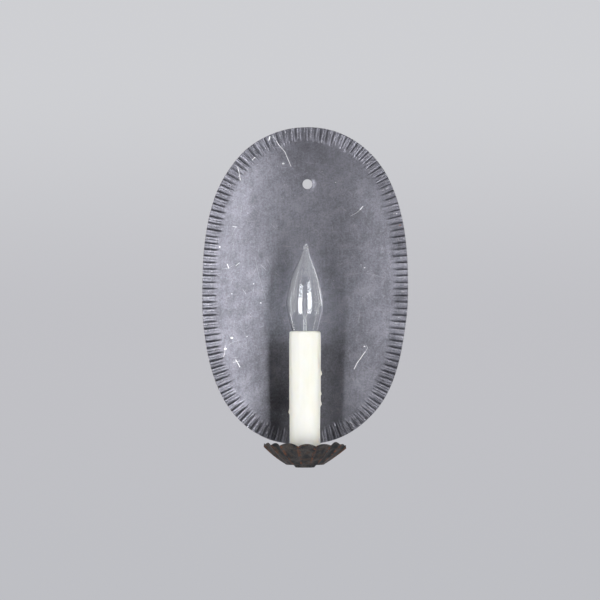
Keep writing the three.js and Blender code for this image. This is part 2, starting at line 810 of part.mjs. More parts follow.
function threadedStretch(radius, top, bottom) {
  const rowsPerTurn = 5;
  const rows = Math.ceil((rowsPerTurn * (top - bottom)) / threadPitch);
  return Array.from({ length: rows + 1 }, (_, i) => ({
    radius,
    height: THREE.MathUtils.lerp(top, bottom, i / rows),
    threaded: true,
  }));
}

function makeSocketShell() {
  const top = -shellBelowRim;
  const plainRadius = shellOuterRadius - shellWall;
  const shell = skin(threadRings([
    { radius: shellOuterRadius, height: socketFloorTop },
    { radius: shellOuterRadius, height: top },
    ...threadedStretch(shellThreadRadius, top, top - threadedLength),
    { radius: plainRadius, height: top - threadedLength - threadHeight },
    { radius: plainRadius, height: socketFloorTop + shellWall },
    { radius: shellFlangeBore / 2, height: socketFloorTop + shellWall },
    { radius: shellFlangeBore / 2, height: socketFloorTop },
  ]), true);
  const rivetHole = rod(
    socketRivetShank / 2 + wireGap,
    new THREE.Vector3(shellRivetX, 0, socketFloorTop - cutOverrun),
    new THREE.Vector3(shellRivetX, 0, socketFloorTop + cutOverrun),
    12,
  );
  return cut(shell, rivetHole);
}
place(candle, 'socket_shell', makeSocketShell().translate(0, 0, baseRim), brass());

// Bent tongue whose top comes up to the bulb's contact
function makeContactTongue() {
  const footZ = socketFloorTop + tongueSheet / 2;
  const topZ = -baseLength - runningGap - tongueSheet / 2;
  const line = [
    [tongueFootStart, footZ],
    [tongueFootEnd, footZ],
    [tongueTopStart, topZ],
    [tongueTopEnd, topZ],
    [tongueTipX, topZ - tongueTipDrop],
  ];
  const blank = sideStrip(line, tongueSheet, tongueWidth).rotateZ(-Math.PI / 2);
  const rivetHole = rod(
    socketRivetShank / 2 + wireGap,
    new THREE.Vector3(contactRivetX, 0, socketFloorTop - cutOverrun),
    new THREE.Vector3(contactRivetX, 0, socketFloorTop + cutOverrun),
    12,
  );
  return cut(blank, rivetHole);
}
place(candle, 'center_contact', makeContactTongue().translate(0, 0, baseRim), brass());

function makeSocketRivet(x, sheet) {
  const geometry = rivet(
    socketRivetShank,
    socketRivetHead,
    socketRivetHeadHeight,
    sheet + socketFloor,
    socketRivetTail,
    socketRivetTailHeight,
  );
  return geometry.translate(x, 0, baseRim + socketFloorTop + sheet);
}
place(candle, 'contact_rivet', makeSocketRivet(contactRivetX, tongueSheet), brass());
place(candle, 'shell_rivet', makeSocketRivet(shellRivetX, shellWall), brass());

// Leads, from the socket's rivets down through the pan, along the channel and into the wall

// The middle line of a lead. Near its end it swings out from the channel's floor, so that it turns
// square into the wall.
function leadRoute(startX, side) {
  const x = (side * leadSpacing) / 2;
  const dropY = panLeadsBehindAxis - candleStandoff;
  const runZ = armFloorTop + leadLift + leadDiameter / 2;
  const climbY = -armSheet - leadLift - leadDiameter / 2;
  const startZ = baseRim + socketFloorBottom - socketRivetTailHeight - runningGap;
  const bendTop = runZ + leadBendRadius;
  const swingY = climbY - wallBendRadius;
  const swingLength = 3 * wallBendRadius;
  const points = [
    new THREE.Vector3(startX, -candleStandoff, startZ),
    new THREE.Vector3(startX, -candleStandoff, startZ - 3 * leadDiameter),
    new THREE.Vector3((startX + x) / 2, (dropY - candleStandoff) / 2, (startZ + bendTop) / 2),
    new THREE.Vector3(x, dropY, bendTop + 2 * leadBendRadius),
  ];
  const bendSteps = 6;
  for (let i = 0; i <= bendSteps; i += 1) {
    const turn = ((Math.PI / 2) * i) / bendSteps;
    const y = dropY + leadBendRadius * (1 - Math.cos(turn));
    points.push(new THREE.Vector3(x, y, bendTop - leadBendRadius * Math.sin(turn)));
  }
  for (let i = 0; i <= bendSteps; i += 1) {
    const turn = ((Math.PI / 2) * i) / bendSteps;
    const y = climbY - leadBendRadius * (1 - Math.sin(turn));
    points.push(new THREE.Vector3(x, y, bendTop - leadBendRadius * Math.cos(turn)));
  }
  for (let i = 0; i < bendSteps; i += 1) {
    const share = i / bendSteps;
    const y = THREE.MathUtils.lerp(climbY, swingY, (1 - Math.cos(Math.PI * share)) / 2);
    const z = wallExitHeight - wallBendRadius - swingLength * (1 - share);
    points.push(new THREE.Vector3(x, y, z));
  }
  for (let i = 0; i <= bendSteps; i += 1) {
    const turn = ((Math.PI / 2) * i) / bendSteps;
    const y = swingY + wallBendRadius * (1 - Math.cos(turn));
    points.push(new THREE.Vector3(x, y, wallExitHeight - wallBendRadius * (1 - Math.sin(turn))));
  }
  points.push(new THREE.Vector3(x, -runningGap, wallExitHeight));
  return points;
}
const leadSteps = 64;
const hotRoute = leadRoute(contactRivetX, -1);
const neutralRoute = leadRoute(shellRivetX, 1);
place(sconce, 'hot_lead', wire(hotRoute, leadDiameter, leadSteps), leadCover(blackColour));
place(sconce, 'neutral_lead', wire(neutralRoute, leadDiameter, leadSteps), leadCover(whiteColour));

// Candle sleeve

function makeSleeve() {
  const outer = sleeveTopDiameter / 2;
  const bore = outer - sleeveWall;
  const edgeSteps = 4;
  const edge = Array.from({ length: edgeSteps + 1 }, (_, i) => {
    const turn = ((Math.PI / 2) * i) / edgeSteps;
    const radius = outer - sleeveEdgeRadius * (1 - Math.cos(turn));
    return [radius, sleeveTop - sleeveEdgeRadius * (1 - Math.sin(turn))];
  });
  const foot = [[bore, sleeveBottom], [sleeveBottomDiameter / 2, sleeveBottom]];
  return turned([...foot, ...edge, [bore, sleeveTop]], 36);
}
place(candle, 'candle_sleeve', makeSleeve(), ivory());

// Bulb, with heights over the rim of its base

// Outline of the glass from its tip down to the base, as [radius, height]
function glassOutline() {
  const points = bulbOutlineShares.map(([radiusShare, heightShare]) => (
    new THREE.Vector2((radiusShare * bulbDiameter) / 2, heightShare * glassHeight)));
  const curve = new THREE.SplineCurve(points.reverse());
  return curve.getPoints(15).map((point) => [point.x, point.y]);
}

function makeGlass() {
  const steps = 24;
  const leanStart = tipLeanShare * glassHeight;
  const neck = neckDiameter / 2;
  const outer = glassOutline();
  const neckOuter = [[neck, -baseCollarHeight], [neck, -neckDepth]];
  const neckInner = [[neck - glassWall, -neckDepth], [neck - glassWall, -baseCollarHeight]];
  const inner = outer.map(([radius, height]) => [radius - glassWall, height]).reverse();
  const openInner = inner.filter(([radius]) => radius > glassWall);
  const ring = ([radius, height]) => {
    const lean = Math.max(0, (height - leanStart) / (glassHeight - leanStart));
    const shift = tipShift * lean ** 2;
    if (radius === 0) return [new THREE.Vector3(shift, 0, height)];
    return Array.from({ length: steps }, (_, i) => {
      const turn = (2 * Math.PI * i) / steps;
      return new THREE.Vector3(shift + radius * Math.cos(turn), radius * Math.sin(turn), height);
    });
  };
  const innerTip = [0, openInner.at(-1)[1] + 2 * glassWall];
  const [topRadius, topHeight] = outer[0];
  const tipSideRadius = topRadius * tipSideShares[0];
  const tipSideHeight = THREE.MathUtils.lerp(topHeight, glassHeight, tipSideShares[1]);
  const outside = [[0, glassHeight], [tipSideRadius, tipSideHeight], ...outer, ...neckOuter];
  const inside = [...neckInner, ...openInner, innerTip];
  return skin([...outside, ...inside].map(ring));
}
place(bulb, 'bulb_glass', makeGlass(), clearGlass());

// Glass stem: a flared foot in the neck, a press round the wires and a slim rod above it
function makeStem() {
  const foot = neckDiameter / 2 - glassWall - runningGap;
  const top = stemTopDiameter / 2;
  const footBottom = -neckDepth + glassWall;
  const blank = turned([
    [0, stemTopHeight],
    [top - stemTopRound, stemTopHeight],
    [top, stemTopHeight - stemTopRound],
    [stemMiddleDiameter / 2, stemMiddleHeight],
    [stemPressDiameter / 2, stemPressHeight],
    [foot, footBottom],
    [foot - stemWall, footBottom],
    [stemPressDiameter / 2 - stemWall, stemPressHeight - 2 * stemWall],
    [0, stemPressHeight - 2 * stemWall],
  ], 20);
  const bores = [-1, 1].map((side) => {
    const x = (side * wireSpacing) / 2;
    const bottom = new THREE.Vector3(x, 0, footBottom - cutOverrun);
    const high = new THREE.Vector3(x, 0, stemTopHeight + cutOverrun);
    return rod(wireDiameter / 2 + wireGap, bottom, high, 12);
  });
  return cut(blank, ...bores);
}
place(bulb, 'bulb_stem', makeStem(), clearGlass());

// A lead-in wire from below the stem, up through its bore and out to one end of the filament
function leadInWire(side, footX, footHeight) {
  const x = (side * wireSpacing) / 2;
  const bendHeight = stemTopHeight + wireBendHeight;
  const points = [
    new THREE.Vector3(footX, 0, footHeight),
    new THREE.Vector3(footX, 0, footHeight + wireBendHeight),
    new THREE.Vector3(x, 0, -neckDepth),
    new THREE.Vector3(x, 0, stemPressHeight),
    new THREE.Vector3(x, 0, stemMiddleHeight),
    new THREE.Vector3(x, 0, stemTopHeight),
    new THREE.Vector3(x, 0, bendHeight),
    new THREE.Vector3((side * wireTipSpacing) / 2, 0, wireTipHeight),
  ];
  return wire(points, wireDiameter, 26, 6);
}
const contactTop = -baseLength + insulatorTipAboveContact - runningGap;
const shellWireX = baseBore / 2 - wireDiameter;
const shellWireHeight = -baseShellLength + baseCurlHeight + insulatorFlangeHeight + 2 * runningGap;
place(bulb, 'bulb_wire_left', leadInWire(-1, 0, contactTop + runningGap), steel());
place(bulb, 'bulb_wire_right', leadInWire(1, shellWireX, shellWireHeight), steel());

function makeFilament() {
  const foot = wireTipSpacing / 2;
  const top = filamentTopSpacing / 2;
  const footHeight = wireTipHeight + runningGap;
  const points = [
    new THREE.Vector3(-foot, 0, footHeight),
    new THREE.Vector3(-top, 0, filamentTopHeight - filamentTopSpacing),
    new THREE.Vector3(0, 0, filamentTopHeight - filamentDiameter / 2),
    new THREE.Vector3(top, 0, filamentTopHeight - filamentTopSpacing),
    new THREE.Vector3(foot, 0, footHeight),
  ];
  return wire(points, filamentDiameter, 20, 6);
}
place(bulb, 'filament', makeFilament(), filamentWire());

const supportFoot = new THREE.Vector3(0, 0, stemTopHeight + runningGap);
const supportHead = new THREE.Vector3(0, 0, filamentTopHeight - filamentDiameter - runningGap);
place(bulb, 'filament_support', rod(supportDiameter / 2, supportFoot, supportHead, 8), steel());

function makeBulbBase() {
  const collar = baseCollarDiameter / 2;
  const bore = baseBore / 2;
  const threadTop = -2 * baseCollarHeight;
  const threadBottom = -baseShellLength + 2 * baseCurlHeight;
  return skin(threadRings([
    { radius: collar - baseCollarWall, height: 0 },
    { radius: collar, height: 0 },
    { radius: collar, height: -baseCollarHeight },
    ...threadedStretch(threadMeanRadius, threadTop, threadBottom),
    { radius: bore, height: -baseShellLength },
    { radius: baseCurlBore / 2, height: -baseShellLength },
    { radius: baseCurlBore / 2, height: -baseShellLength + baseCurlHeight },
    { radius: bore, height: -baseShellLength + baseCurlHeight },
    { radius: bore, height: threadTop },
    { radius: collar - baseCollarWall, height: -baseCollarHeight },
  ]), true);
}
place(bulb, 'bulb_base', makeBulbBase(), brass());

function makeInsulator() {
  const bore = wireDiameter / 2 + wireGap;
  const flangeBottom = -baseShellLength + baseCurlHeight + runningGap;
  const tip = -baseLength + insulatorTipAboveContact;
  return turned([
    [bore, flangeBottom + insulatorFlangeHeight],
    [insulatorFlange / 2, flangeBottom + insulatorFlangeHeight],
    [insulatorFlange / 2, flangeBottom],
    [insulatorNeck / 2, flangeBottom],
    [insulatorNeck / 2, -baseShellLength - runningGap],
    [insulatorTip / 2, tip],
    [bore, tip],
  ], 24);
}
place(bulb, 'base_insulator', makeInsulator(), phenolic());

function makeBaseContact() {
  const bottom = -baseLength;
  return turned([
    [0, contactTop],
    [contactButtonDiameter / 2, contactTop],
    [contactButtonDiameter / 2, bottom + contactButtonRound],
    [contactButtonTip / 2, bottom],
    [0, bottom],
  ], 24);
}
place(bulb, 'base_contact', makeBaseContact(), solder());

export default sconce;
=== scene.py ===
import math
import random

import bmesh
import bpy
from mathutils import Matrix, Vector, noise


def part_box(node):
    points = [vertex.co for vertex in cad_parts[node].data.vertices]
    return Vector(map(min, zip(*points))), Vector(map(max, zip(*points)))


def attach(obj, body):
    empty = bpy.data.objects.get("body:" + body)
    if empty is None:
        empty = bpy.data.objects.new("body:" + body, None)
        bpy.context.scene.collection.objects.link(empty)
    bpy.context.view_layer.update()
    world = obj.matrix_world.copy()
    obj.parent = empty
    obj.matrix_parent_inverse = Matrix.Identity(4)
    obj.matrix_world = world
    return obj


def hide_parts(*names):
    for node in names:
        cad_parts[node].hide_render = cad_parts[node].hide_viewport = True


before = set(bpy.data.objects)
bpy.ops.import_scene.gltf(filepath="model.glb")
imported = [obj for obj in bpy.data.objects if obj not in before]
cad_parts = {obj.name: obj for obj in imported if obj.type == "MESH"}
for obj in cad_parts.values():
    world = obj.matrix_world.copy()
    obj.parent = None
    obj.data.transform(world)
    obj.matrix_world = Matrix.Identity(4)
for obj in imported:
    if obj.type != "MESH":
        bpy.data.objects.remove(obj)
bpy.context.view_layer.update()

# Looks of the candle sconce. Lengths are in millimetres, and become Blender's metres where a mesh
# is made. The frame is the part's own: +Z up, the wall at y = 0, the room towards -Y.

MM = 0.001
scene = bpy.context.scene


def box_mm(node):
    low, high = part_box(node)
    return low / MM, high / MM


# Camera and photograph
FRAME_PIXELS = 600
FOCAL_PIXELS = 2344
SENSOR_WIDTH = 36
CAMERA_PLACE = Vector((-4.2, -2066, -90))
AIM_HEIGHT = -13
CAMERA_PITCH = math.atan2(AIM_HEIGHT - CAMERA_PLACE.z, -CAMERA_PLACE.y)

# Plate
plate_low, plate_high = box_mm("back_plate")
PLATE_FULLNESS = 2.37
PLATE_SHEET = 0.6
PLATE_DISH = -plate_low.y - PLATE_SHEET
PLATE_DISH_POWER = 2.4
PLATE_SLOPE_START_SHARE = 0.8
PLATE_EDGE_ROUND = 0.15
PLATE_WAVE = 0.3
PLATE_WAVE_LENGTH = 45
PLATE_WAVE_FADE_SHARES = (0.8, 0.95)
CRIMP_COUNT = 128
CRIMP_STEPS = 28
CRIMP_LENGTH = 12.9
CRIMP_FADE = 5
CRIMP_DEPTH = 0.62
CRIMP_SHARPNESS = 1.7
CRIMP_LINES = 2
CRIMP_LINE_DEPTH = 0.18
# The next sets how strongly the crimps' fine lines are painted lighter, as a painted sheen
CRIMP_LINE_SHINE = 0.3
CRIMP_RANGES = ((-0.05, 0.05), (0.75, 1), (-0.8, 0.8), (0.4, 1.4))
CRIMP_ZONE = 15.5
CRIMP_INSETS = (0.5, 1.2, 2.2, 3.4, 4.8, 6.2, 7.4, 8.5, 9.5, 10.4, 11.3, 12.2, 13.1, 14.2, CRIMP_ZONE)
MIDDLE_STEPS = 512
MIDDLE_RINGS = 40
HOLE_RADIUS = 4.3
HOLE_PLACE = (2.3, plate_high.z - 50.5)
HOLE_RINGS = (0, 0.25, 0.6, 1.1, 1.7, 2.4, 3.3, 4.5, 6, 8)
BURR_HEIGHT = 0.42
BURR_REACH = 2.2
BURR_DIRECTION = 35
BURR_UNEVEN_SHARE = 0.4

# Drip pan
pan_low, _ = box_mm("drip_pan")
sleeve_low, sleeve_high = box_mm("candle_sleeve")
AXIS_Y = (sleeve_low.y + sleeve_high.y) / 2
PAN_SHEET = 0.6
PAN_FLOOR_RADIUS = 16.1
PAN_RADIUS = 35.6
PAN_RISE = 15.9
FLUTE_COUNT = 16
FLUTE_STEPS = 24
FLUTE_TURN = -9.35
WALL_RINGS = 16

# Candle sleeve
SLEEVE_RADIUS = sleeve_high.x
SLEEVE_FOOT_RADIUS = 13
SLEEVE_WALL = 1.9
SLEEVE_EDGE = 1.6
SLEEVE_EDGE_RINGS = 8
SLEEVE_INNER_EDGE = 0.15
SLEEVE_WAVE = 0.12
SLEEVE_WAVE_LENGTH = 22
SLEEVE_SHORTER = 0.5
SLEEVE_STEPS = 192
SLEEVE_ROWS = 240

# Bulb
_, glass_high = box_mm("bulb_glass")
base_low, base_high = box_mm("bulb_base")
BASE_RIM = base_high.z
GLASS_HEIGHT = glass_high.z - BASE_RIM
BULB_RADIUS = glass_high.x
GLASS_WALL = 0.6
GLASS_STEPS = 128
TIP_SHIFT = 1
TIP_LEAN_SHARE = 0.5
NECK_RADIUS = 4.7
NECK_DEPTH = 5.5
COLLAR_HEIGHT = 0.8
BULB_OUTLINE_SHARES = (
    (0.372, 0.014), (0.479, 0.053), (0.598, 0.102), (0.693, 0.156), (0.832, 0.248), (0.957, 0.341),
    (1.0, 0.434), (0.9, 0.558), (0.68, 0.712), (0.29, 0.867), (0.129, 0.959),
)

# Meshes
WELD_DISTANCE = 0.001
FLAT_ANGLE = math.radians(1)
BEVEL_ANGLE = math.radians(30)


class Skin:
    """The rings of points and the faces of one closed mesh, with one value kept for each point."""

    def __init__(self):
        self.points = []
        self.values = []
        self.faces = []

    def ring(self, points, values=None):
        start = len(self.points)
        self.points.extend(points)
        self.values.extend(values or [0.0] * len(points))
        return start, len(points)

    def stitch(self, first, second):
        (a, count_a), (b, count_b) = first, second
        if count_a == count_b:
            for i in range(count_a):
                k = (i + 1) % count_a
                self.faces.append((a + i, a + k, b + k, b + i))
            return
        steps_a = count_a if count_a > 1 else 0
        steps_b = count_b if count_b > 1 else 0
        i = j = 0
        while i < steps_a or j < steps_b:
            on_a, on_b = a + i % count_a, b + j % count_b
            if j >= steps_b or (i < steps_a and (i + 1) * steps_b <= (j + 1) * steps_a):
                self.faces.append((on_a, a + (i + 1) % count_a, on_b))
                i += 1
            else:
                self.faces.append((on_a, b + (j + 1) % count_b, on_b))
                j += 1

    def close(self, spans, runs_on=False):
        """Join the rings in turn, and the last to the first where the skin runs on."""
        for first, second in zip(spans, spans[1:]):
            self.stitch(first, second)
        if runs_on:
            self.stitch(spans[-1], spans[0])


def add_piece(name, mesh, slot, body, node, sharp):
    mesh.shade_smooth()
    mesh.set_sharp_from_angle(angle=math.radians(sharp))
    mesh.materials.clear()
    mesh.materials.append(finishes[slot])
    piece = bpy.data.objects.new(name, mesh)
    scene.collection.objects.link(piece)
    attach(piece, body)
    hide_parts(node)
    return piece


def make_piece(name, skin, slot, body, node, sharp=35):
    mesh = bpy.data.meshes.new(name)
    mesh.from_pydata([Vector(point) * MM for point in skin.points], [], skin.faces)
    relief_and_sheen = mesh.attributes.new("relief_and_sheen", "FLOAT", "POINT")
    relief_and_sheen.data.foreach_set("value", skin.values)
    shape = bmesh.new()
    shape.from_mesh(mesh)
    bmesh.ops.recalc_face_normals(shape, faces=shape.faces)
    shape.to_mesh(mesh)
    shape.free()
    return add_piece(name, mesh, slot, body, node, sharp)


def refined_piece(name, node, slot, body, bevel=0.0, sharp=35):
    """A copy of a CAD node, with its edges rounded where a bevel is given."""
    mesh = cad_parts[node].data.copy()
    mesh.name = name
    shape = bmesh.new()
    shape.from_mesh(mesh)
    bmesh.ops.remove_doubles(shape, verts=shape.verts, dist=WELD_DISTANCE * MM)
    bmesh.ops.dissolve_limit(shape, angle_limit=FLAT_ANGLE, verts=shape.verts, edges=shape.edges)
    shape.to_mesh(mesh)
    shape.free()
    piece = add_piece(name, mesh, slot, body, node, sharp)
    if bevel:
        rounding = piece.modifiers.new("rounding", "BEVEL")
        rounding.width = bevel * MM
        rounding.segments = 3
        rounding.limit_method = "ANGLE"
        rounding.angle_limit = BEVEL_ANGLE
        rounding.harden_normals = True


def round_axis(radius, turn, height):
    """A point at a distance from the candle's axis."""
    return radius * math.cos(turn), AXIS_Y + radius * math.sin(turn), height


def circle(radius, height, steps, centre):
    turns = [2 * math.pi * i / steps for i in range(steps)]
    return [(centre[0] + radius * math.cos(t), centre[1] + radius * math.sin(t), height) for t in turns]


def turned(outline, steps, centre=lambda height: (0, 0)):
    """A body from (radius, height) points, turned about its centre, which may move with the height. It
    closes on itself unless both ends lie on the axis."""
    skin = Skin()
    spans = []
    for radius, height in outline:
        ring = circle(radius, height, steps, centre(height))
        spans.append(skin.ring(ring if radius > 0 else ring[:1]))
    skin.close(spans, runs_on=outline[0][0] > 0)
    return skin


def tube(path, radius, sides=10):
    """A round wire along a list of points."""
    skin = Skin()
    points = [Vector(point) for point in path]
    across = None
    spans = [skin.ring([tuple(points[0])])]
    for i, point in enumerate(points):
        ahead = (points[min(i + 1, len(points) - 1)] - points[max(i - 1, 0)]).normalized()
        if across is None:
            across = ahead.orthogonal().normalized()
        across = (across - ahead * across.dot(ahead)).normalized()
        other = ahead.cross(across)
        turns = [2 * math.pi * k / sides for k in range(sides)]
        ring = [tuple(point + (across * math.cos(t) + other * math.sin(t)) * radius) for t in turns]
        spans.append(skin.ring(ring))
    spans.append(skin.ring([tuple(points[-1])]))
    skin.close(spans)
    return skin


def smooth_line(points, steps):
    """Points of a smooth curve through the given ones."""
    line = [Vector(point) for point in points]
    padded = [2 * line[0] - line[1], *line, 2 * line[-1] - line[-2]]
    result = []
    for a, b, c, d in zip(padded, padded[1:], padded[2:], padded[3:]):
        for i in range(steps):
            t = i / steps
            bend = (2 * a - 5 * b + 4 * c - d) * t * t + (3 * b - a - 3 * c + d) * t ** 3
            result.append((2 * b + (c - a) * t + bend) / 2)
    result.append(line[-1])
    return result


def fade(value, start, end):
    """0 before start, 1 after end, smooth between them."""
    t = max(0.0, min(1.0, (value - start) / (end - start)))
    return t * t * (3 - 2 * t)


def bell(value, middle, reach):
    return math.exp(-((value - middle) / reach) ** 2)


# Materials

class Nodes:
    """The nodes of a material or a world, with short ways to add more. Places are in millimetres."""

    def __init__(self, owner, shader, output):
        owner.use_nodes = True
        self.tree = owner.node_tree
        self.shader = self.tree.nodes[shader]
        self.surface = self.tree.nodes[output].inputs["Surface"]

    def join(self, socket, value):
        if isinstance(value, bpy.types.NodeSocket):
            self.tree.links.new(value, socket)
        elif socket.type == "RGBA":
            socket.default_value = (*value, 1)
        else:
            socket.default_value = value

    def add(self, kind, given=None, **settings):
        """A new node, with what is given to its inputs by name or number, and its settings."""
        node = self.tree.nodes.new("ShaderNode" + kind)
        for key, value in settings.items():
            setattr(node, key, value)
        for key, value in (given or {}).items():
            self.join(node.inputs[key], value)
        return node

    def place(self, stretch=(1, 1, 1), turn=(0, 0, 0)):
        given = {
            "Vector": self.add("TexCoord").outputs["Object"],
            "Scale": [MM / share for share in stretch],
            "Rotation": [math.radians(degrees) for degrees in turn],
        }
        return self.add("Mapping", given, vector_type="TEXTURE").outputs["Vector"]

    def noise(self, size, detail=3, roughness=0.6, stretch=(1, 1, 1), turn=(0, 0, 0), warp=0.0, at=None):
        given = {"Scale": 1 / size, "Detail": detail, "Roughness": roughness, "Distortion": warp}
        given["Vector"] = self.place(stretch, turn) if at is None else at
        return self.add("TexNoise", given).outputs["Fac"]

    def spots(self, size, radius):
        """1 inside small scattered dots, 0 outside them."""
        node = self.add("TexVoronoi", {"Vector": self.place(), "Scale": 1 / size})
        return self.steps(node.outputs["Distance"], radius / size, 0.5 * radius / size)

    def math(self, operation, *values):
        return self.add("Math", dict(enumerate(values)), operation=operation).outputs[0]

    def times(self, first, second):
        return self.math("MULTIPLY", first, second)

    def highest(self, values):
        total = values[0]
        for value in values[1:]:
            total = self.math("MAXIMUM", total, value)
        return total

    def vector(self, operation, *values):
        node = self.add("VectorMath", dict(enumerate(values)), operation=operation)
        return node.outputs["Value" if operation in ("DISTANCE", "DOT_PRODUCT") else "Vector"]

    def scaled(self, vector, factor):
        return self.add("VectorMath", {0: vector, "Scale": factor}, operation="SCALE").outputs["Vector"]

    def part(self, vector, axis):
        return self.add("SeparateXYZ", {0: vector}).outputs[axis]

    def steps(self, value, low, high, to_low=0.0, to_high=1.0, curve="SMOOTHSTEP"):
        """A value that goes from to_low to to_high between low and high."""
        given = {"Value": value, "From Min": low, "From Max": high, "To Min": to_low, "To Max": to_high}
        return self.add("MapRange", given, interpolation_type=curve).outputs["Result"]

    def mix(self, share, first, second):
        return self.add("Mix", {0: share, 6: first, 7: second}, data_type="RGBA").outputs[2]

    def rays(self, *kinds):
        """1 on light rays of the given kinds, 0 on the others."""
        path = self.add("LightPath")
        return self.highest([path.outputs[f"Is {kind} Ray"] for kind in kinds])

    def show_mixed(self, share, first, second):
        """Show the second shader at a share, and the first for the rest."""
        mixed = self.add("MixShader", {0: share, 1: first.outputs[0], 2: second.outputs[0]})
        self.join(self.surface, mixed.outputs[0])


class Finish(Nodes):
    """A material whose shader takes the given values."""

    def __init__(self, name, **values):
        self.material = bpy.data.materials.new(name)
        super().__init__(self.material, "Principled BSDF", "Material Output")
        for key, value in values.items():
            self.set(key.replace("_", " "), value)

    def set(self, name, value):
        self.join(self.shader.inputs[name], value)

    def front(self):
        """1 on faces that look forward, 0 on the others."""
        return self.steps(self.part(self.add("TexCoord").outputs["Normal"], "Y"), 0, -0.3)

    # The value kept for each point: a piece's relief, and on the plate also where a sheen is painted
    def relief_and_sheen(self):
        return self.add("Attribute", attribute_name="relief_and_sheen").outputs["Fac"]

    def bump(self, height, distance, strength):
        given = {"Height": height, "Distance": distance * MM, "Strength": strength}
        return self.add("Bump", given).outputs["Normal"]

    def on_wall(self):
        """The place as seen straight on."""
        return self.vector("MULTIPLY", self.place(), (1, 0, 1))

    def scratch(self, start, end, width, strength):
        """The strength on the line between two (x, z) places, 0 away from it."""
        foot = Vector((start[0], 0, start[1]))
        line = Vector((end[0], 0, end[1])) - foot
        away = self.vector("SUBTRACT", self.on_wall(), tuple(foot))
        along = self.vector("DOT_PRODUCT", away, tuple(line / line.length_squared))
        held = self.math("MINIMUM", self.math("MAXIMUM", along, 0.0), 1.0)
        gap = self.vector("DISTANCE", away, self.scaled(tuple(line), held))
        return self.steps(gap, 0.6 * width, 0.2 * width, 0.0, strength)


# Scratches on the plate, as lines between pixels of the photograph, each with its width in
# millimetres and its strength
SCRATCHES = (
    (((273, 137), (279, 146), (285, 153), (288, 160), (291, 167)), 0.4, 0.95),
    (((351, 216), (356, 213.5), (361.5, 209)), 0.4, 0.34),
    (((360, 210), (362.5, 207)), 0.9, 0.77),
    (((255, 257), (259, 276), (263, 290), (266, 300)), 0.35, 0.12),
    (((354, 369), (357, 363), (360, 359), (363, 354.5), (365, 352)), 0.7, 0.95),
    (((365, 352), (367.5, 348), (366, 345.5)), 0.45, 0.34),
    (((344, 277), (352, 274.5), (361, 273), (371, 274), (386, 279)), 0.35, 0.09),
    (((340, 235), (347, 249), (358, 260), (362, 268)), 0.35, 0.06),
    (((236, 360), (238.5, 364), (240, 367)), 0.7, 0.61),
    (((233.5, 362.5), (240, 361)), 0.5, 0.34),
    (((225.6, 346), (225, 353), (224, 357)), 0.6, 0.34),
    (((229, 345), (233.5, 342), (239, 340.5)), 0.35, 0.15),
    (((235, 335), (240, 345), (246, 349)), 0.3, 0.09),
    (((238, 168), (239.5, 174), (240.5, 181)), 0.7, 0.77),
    (((270, 138), (269, 141.5)), 1.1, 0.95),
    (((252.5, 161), (255, 158.5)), 0.9, 0.61),
    (((227.5, 264.5), (229, 268.5)), 0.7, 0.61),
    (((222, 269.5), (229, 268.5), (233, 266)), 0.4, 0.15),
    (((236, 266), (239.5, 263)), 0.5, 0.34),
    (((235.5, 228), (231, 238)), 0.35, 0.09),
    (((233, 227), (237, 227.5)), 0.6, 0.34),
    (((307, 218), (309, 228), (308, 240)), 0.3, 0.06),
    (((302, 217), (301.5, 221)), 0.4, 0.09),
    (((271, 224), (277, 230)), 0.5, 0.09),
    (((261, 265), (266, 270)), 0.5, 0.12),
    (((332, 226), (333, 232)), 0.5, 0.12),
    (((243, 290), (246, 294)), 0.6, 0.15),
    (((288, 345), (291, 349)), 0.3, 0.06),
    (((368, 293), (371, 299)), 0.5, 0.09),
)
DOTS = (
    ((283.4, 164.3), 1.5, 0.61), ((364.3, 346.5), 1.2, 0.77), ((232, 338), 1.6, 0.95),
    ((225.6, 349), 1.6, 0.95), ((260.8, 303), 0.9, 0.77), ((253.6, 284), 0.9, 0.47),
    ((364.5, 268), 0.9, 0.61), ((335.5, 183), 0.8, 0.47), ((236, 227.5), 0.9, 0.24),
    ((247.2, 336.5), 0.9, 0.34), ((367, 333), 0.6, 0.24), ((396, 214.5), 1.0, 0.61),
    ((307, 173), 0.7, 0.15), ((322, 172), 0.9, 0.12), ((361, 265), 0.6, 0.34),
    ((333.5, 280.5), 0.6, 0.34), ((220, 247.5), 1.0, 0.61), ((248, 213.5), 0.7, 0.24),
    ((232, 294), 0.9, 0.34), ((295, 196), 0.7, 0.15),
)


def on_plate(pixel):
    """The (x, z) place on the plate that the photograph shows at a pixel."""
    right = pixel[0] - FRAME_PIXELS / 2
    down = pixel[1] - FRAME_PIXELS / 2
    ahead = Vector((0, math.cos(CAMERA_PITCH), math.sin(CAMERA_PITCH)))
    below = Vector((0, math.sin(CAMERA_PITCH), -math.cos(CAMERA_PITCH)))
    ray = ahead * FOCAL_PIXELS + Vector((1, 0, 0)) * right + below * down
    place = CAMERA_PLACE - ray * (CAMERA_PLACE.y / ray.y)
    return place.x, place.z


# What the strength of every mark on the tin is multiplied by
SCRATCH_CONTRAST = 1.7
HAIRLINE_TURNS = (8, 31, 62, 97, 128, 155)

# Patches of painted light and shade on the plate, as (pixel, radius in millimetres, added brightness)
LIGHT_AND_SHADE_PATCHES = (
    ((306, 140), 45, -0.3), ((306, 212), 42, 0.16), ((240, 398), 34, 0.26), ((235, 215), 60, -0.12),
    ((362, 392), 40, 0.28), ((284, 400), 24, -0.56), ((411, 215), 30, 0.5), ((413, 270), 30, 0.5),
    ((409, 330), 32, 0.5), ((272, 430), 22, -0.55), ((338, 430), 20, -0.26),
)
# Rust as (pixel, width in millimetres)
RUST_SPECKS = (((232, 162), 2.2), ((229.5, 166.5), 1.4), ((236, 157.5), 1.3), ((399, 226), 1.2))


